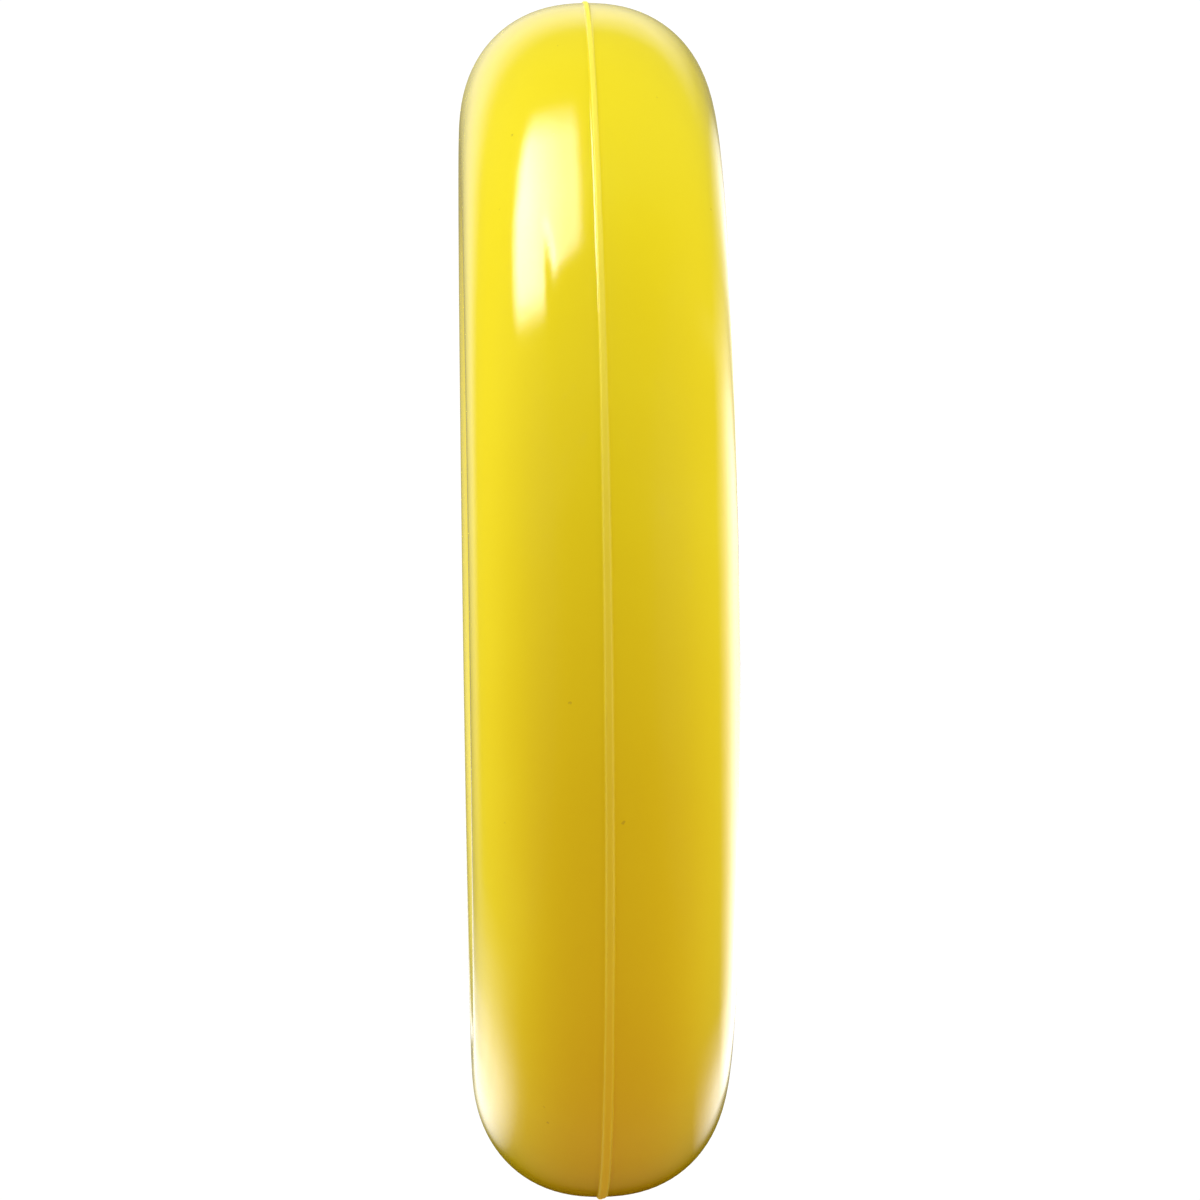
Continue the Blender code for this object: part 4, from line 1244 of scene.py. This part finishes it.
# %% Soft lights for the form
SOFT_LIGHTS = [
    ("light_above", (0, -0.2, 1), (1.91, 1.91, 1.91)),
    ("light_below", (0, -0.2, -1), (2.18, 2.18, 2.18)),
    ("light_end_high", (0.8, -0.3, 0.6), (1.35, 1.35, 1.35)),
    ("light_end_low", (0.8, -0.3, -0.6), (0.84, 0.84, 0.84)),
    ("light_back_end", (0.8, 0.6, 0), (2.02, 2.02, 2.02)),
    ("light_back_high", (0, 0.7, 0.7), (1.10, 1.10, 1.10)),
    ("warm_front", (0, -1, 0), (0.20, 0.05, 0.006)),
    ("warm_far_end", (-1, -0.2, 0), (0.83, 0.21, 0.025)),
    ("warm_far_low", (-0.7, -0.3, -0.65), (0.13, 0.03, 0.004)),
]


def soft_light(name, towards, strength):
    """A very wide far light that shades the form but is not mirrored in it. towards points to the light."""
    data = bpy.data.lights.new(name, "SUN")
    data.energy = max(strength)
    data.color = [channel / max(strength) for channel in strength]
    data.angle = math.radians(90)
    lamp = bpy.data.objects.new(name, data)
    lamp.rotation_mode = "QUATERNION"
    lamp.rotation_quaternion = Vector((0, 0, 1)).rotation_difference(Vector(towards))
    lamp.visible_glossy = False
    bpy.context.collection.objects.link(lamp)


for row in SOFT_LIGHTS:
    soft_light(*row)
print("soft lights:", len(SOFT_LIGHTS))

# %% [markdown]
# The room itself is white where the camera sees it. Shiny surfaces see a darker room with white boards and
# one softbox. The easy way to place a board is to ask which spot of the stone should mirror it, so the
# boards are given here by that spot: an azimuth round the ring, from -Y towards +X, and a slope of its
# section, up being plus. A direction of the room is mirrored to -Y by the surface whose normal lies halfway
# between the two.

# %% Directions of the room as spots on the ring
room = bpy.data.worlds.new("white_room")
bpy.context.scene.world = room
room.use_nodes = True
tree = room.node_tree
tree.nodes.clear()
direction = node(tree, "ShaderNodeTexCoord").outputs["Generated"]
seen = node(tree, "ShaderNodeSeparateXYZ", Vector=direction)
half_way = vector_maths(tree, "SUBTRACT", direction, (0, 1, 0))
half = node(tree, "ShaderNodeSeparateXYZ", Vector=half_way)
reach = vector_maths(tree, "LENGTH", vector_maths(tree, "MULTIPLY", half_way, (1, 1, 0)))
front = times(tree, half.outputs["Y"], -1.0)
DEGREES = 180 / math.pi
azimuth = times(tree, maths(tree, "ARCTAN2", half.outputs["X"], front), DEGREES)
slope = times(tree, maths(tree, "ARCTAN2", half.outputs["Z"], reach), DEGREES)
spot = node(tree, "ShaderNodeCombineXYZ", X=azimuth, Y=slope).outputs["Vector"]
print("room directions ready")


# %% Boards and softbox
def trapezoid(tree, value, stops):
    """0 below the first stop, 1 between the second and the third, 0 above the fourth."""
    rise = spread(tree, value, stops[0], stops[1], 0.0, 1.0)
    return times(tree, rise, spread(tree, value, stops[2], stops[3], 1.0, 0.0))


def board(name, azimuths, slopes, radiance):
    """Radiance of a white board, soft at its edges."""
    lit = times(tree, trapezoid(tree, azimuth, azimuths), trapezoid(tree, slope, slopes), radiance)
    lit.node.label = name
    return lit


def soft_ellipse(centre, size, tilt, edge=0.25):
    """1 inside an ellipse of spots and 0 outside it, with a soft edge."""
    moved = node(
        tree, "ShaderNodeMapping", {"vector_type": "TEXTURE"}, Vector=spot,
        Location=(*centre, 0), Rotation=(0, 0, math.radians(tilt)), Scale=(*size, 1),
    )
    reach = vector_maths(tree, "LENGTH", moved.outputs["Vector"])
    return spread(tree, reach, 1 - edge, 1 + edge, 1.0, 0.0)


BOARDS = [
    ("board_below", (-100, -95, 22, 42), (-84, -74, -69, -56), 2.5),
    ("board_below_edge", (-100, -95, 22, 42), (-97, -93, -86, -76), 1.0),
    ("board_below_end", (36, 66, 95, 100), (-97, -93, -70, -58), 1.7),
    ("board_far_end", (-100, -95, -62, -36), (36, 52, 59, 73), 1.3),
    ("glow_far_end", (-74, -64, -58, -48), (31, 42, 47, 55), 0.4),
    ("glow_below_far", (-80, -74, -66, -52), (-66, -60, -53, -38), 1.2),
    ("glow_below", (26, 29, 31, 33), (-62, -58, -50, -42), 0.2),
]
DARK_AZIMUTHS = (-101, -98, -80, -62)
DARK_SLOPES = (-60, -50, 32, 46)
ROOM_SHINE = 0.12

# %% [markdown]
# The softbox is mirrored on the shoulder of the ring. It has a long lobe on the side of the crown and a
# short one on the side of the seam, with a dark slit between the two and a bright fold beside the slit, so
# its image isn't a plain oval.

# %% Softbox and backdrop
SOFTBOX_RADIANCE = 14.0
FOLD_RADIANCE = 8.0
BACKDROP_RADIANCE = 0.68


def build_softbox():
    from_middle = maths(tree, "SUBTRACT", azimuth, 33.0)
    bow = times(tree, from_middle, from_middle, 0.03)
    crown_edge = spread(tree, plus(tree, slope, bow), 33.6, 38.0, 1.0, 0.0)
    seam_edge = spread(tree, slope, 3.4, 5.4, 0.0, 1.0)
    long_lobe = spread(tree, slope, 19.0, 21.0, 0.0, 1.0)
    slanting = plus(tree, times(tree, azimuth, 3.5), slope)
    short_lobe = spread(tree, slanting, 125.0, 132.0, 0.0, 1.0)
    lobes = maths(tree, "MAXIMUM", long_lobe, short_lobe)
    ends = trapezoid(tree, azimuth, (27.5, 30.5, 49.5, 55.0))
    slit = maths(tree, "SUBTRACT", 1.0, soft_ellipse((33.0, 18.0), (3.9, 1.9), 0, 0.35))
    side_fall = spread(tree, slope, 9.0, 26.0, 0.5, 1.0)
    end_fall = spread(tree, azimuth, 42.0, 54.0, 1.0, 0.6)
    cloth = times(tree, crown_edge, seam_edge, lobes, ends, slit, side_fall, end_fall, SOFTBOX_RADIANCE)
    fold = soft_ellipse((35.8, 16.8), (3.8, 1.5), 36, 0.4)
    return plus(tree, cloth, times(tree, fold, FOLD_RADIANCE))


def build_backdrop():
    """A round white sheet behind the stone, brighter towards +X and towards the top."""
    disc = spread(tree, seen.outputs["Y"], 0.76, 0.88, 0.0, 1.0)
    bearing = plus(tree, times(tree, seen.outputs["X"], 2.0), seen.outputs["Z"])
    return times(tree, disc, spread(tree, bearing, 0.2, 0.62, 0.1, 1.0), BACKDROP_RADIANCE)


dark_end = times(tree, trapezoid(tree, azimuth, DARK_AZIMUTHS), trapezoid(tree, slope, DARK_SLOPES))
even = plus(tree, build_backdrop(), ROOM_SHINE)
shine = times(tree, even, maths(tree, "SUBTRACT", 1.0, dark_end))
shine = plus(tree, shine, build_softbox())
for row in BOARDS:
    shine = plus(tree, board(*row), shine)
print("boards:", len(BOARDS))

# %% White for the camera, boards for the shine
rays = node(tree, "ShaderNodeLightPath")
mirrored = node(tree, "ShaderNodeBackground", Color=(1, 1, 1, 1), Strength=shine)
black = node(tree, "ShaderNodeBackground", Color=(0, 0, 0, 1), Strength=0.0)
white = node(tree, "ShaderNodeBackground", Color=(1, 1, 1, 1), Strength=WHITE_RADIANCE)
background = black.outputs["Background"]
for ray, lit in (("Is Glossy Ray", mirrored), ("Is Camera Ray", white)):
    mixed = node(tree, "ShaderNodeMixShader", Fac=rays.outputs[ray])
    tree.links.new(background, mixed.inputs[1])
    tree.links.new(lit.outputs["Background"], mixed.inputs[2])
    background = mixed.outputs["Shader"]
world_out = tree.nodes.new("ShaderNodeOutputWorld")
tree.links.new(background, world_out.inputs["Surface"])
bpy.context.scene.view_settings.view_transform = "Standard"
print("room ready")

# %% [markdown]
# ## Camera
#
# The camera looks at the ring exactly edge-on from -Y, a touch above its mid-plane, through a long lens. It
# lies on its side, so the stone's top face is at the left of the picture and +X is up.

# %% Camera
FOCAL_LENGTH = 214.2
SIDE_SHIFT = 8 / 1200
DISTANCE = 12 * OUTER_RADIUS
ELEVATION = math.radians(1.4)
ROLL = math.radians(0.8)
centre_point = Vector((0, 0, MID_Z))
eye = centre_point + DISTANCE * Vector((0, -math.cos(ELEVATION), math.sin(ELEVATION)))
forward = (centre_point - eye).normalized()
down = Vector((0, 0, -1))
right = (down - down.dot(forward) * forward).normalized()
up = right.cross(forward)
right, up = math.cos(ROLL) * right - math.sin(ROLL) * up, math.cos(ROLL) * up + math.sin(ROLL) * right

lens = bpy.data.cameras.new("camera")
lens.lens = FOCAL_LENGTH
lens.sensor_width = 36.0
lens.clip_end = 50.0
lens.shift_x = SIDE_SHIFT
camera = bpy.data.objects.new("camera", lens)
camera.matrix_world = Matrix.Translation(eye) @ Matrix((right, up, -forward)).transposed().to_4x4()
bpy.context.collection.objects.link(camera)
bpy.context.scene.camera = camera
print("camera at", tuple(round(c, 3) for c in eye))
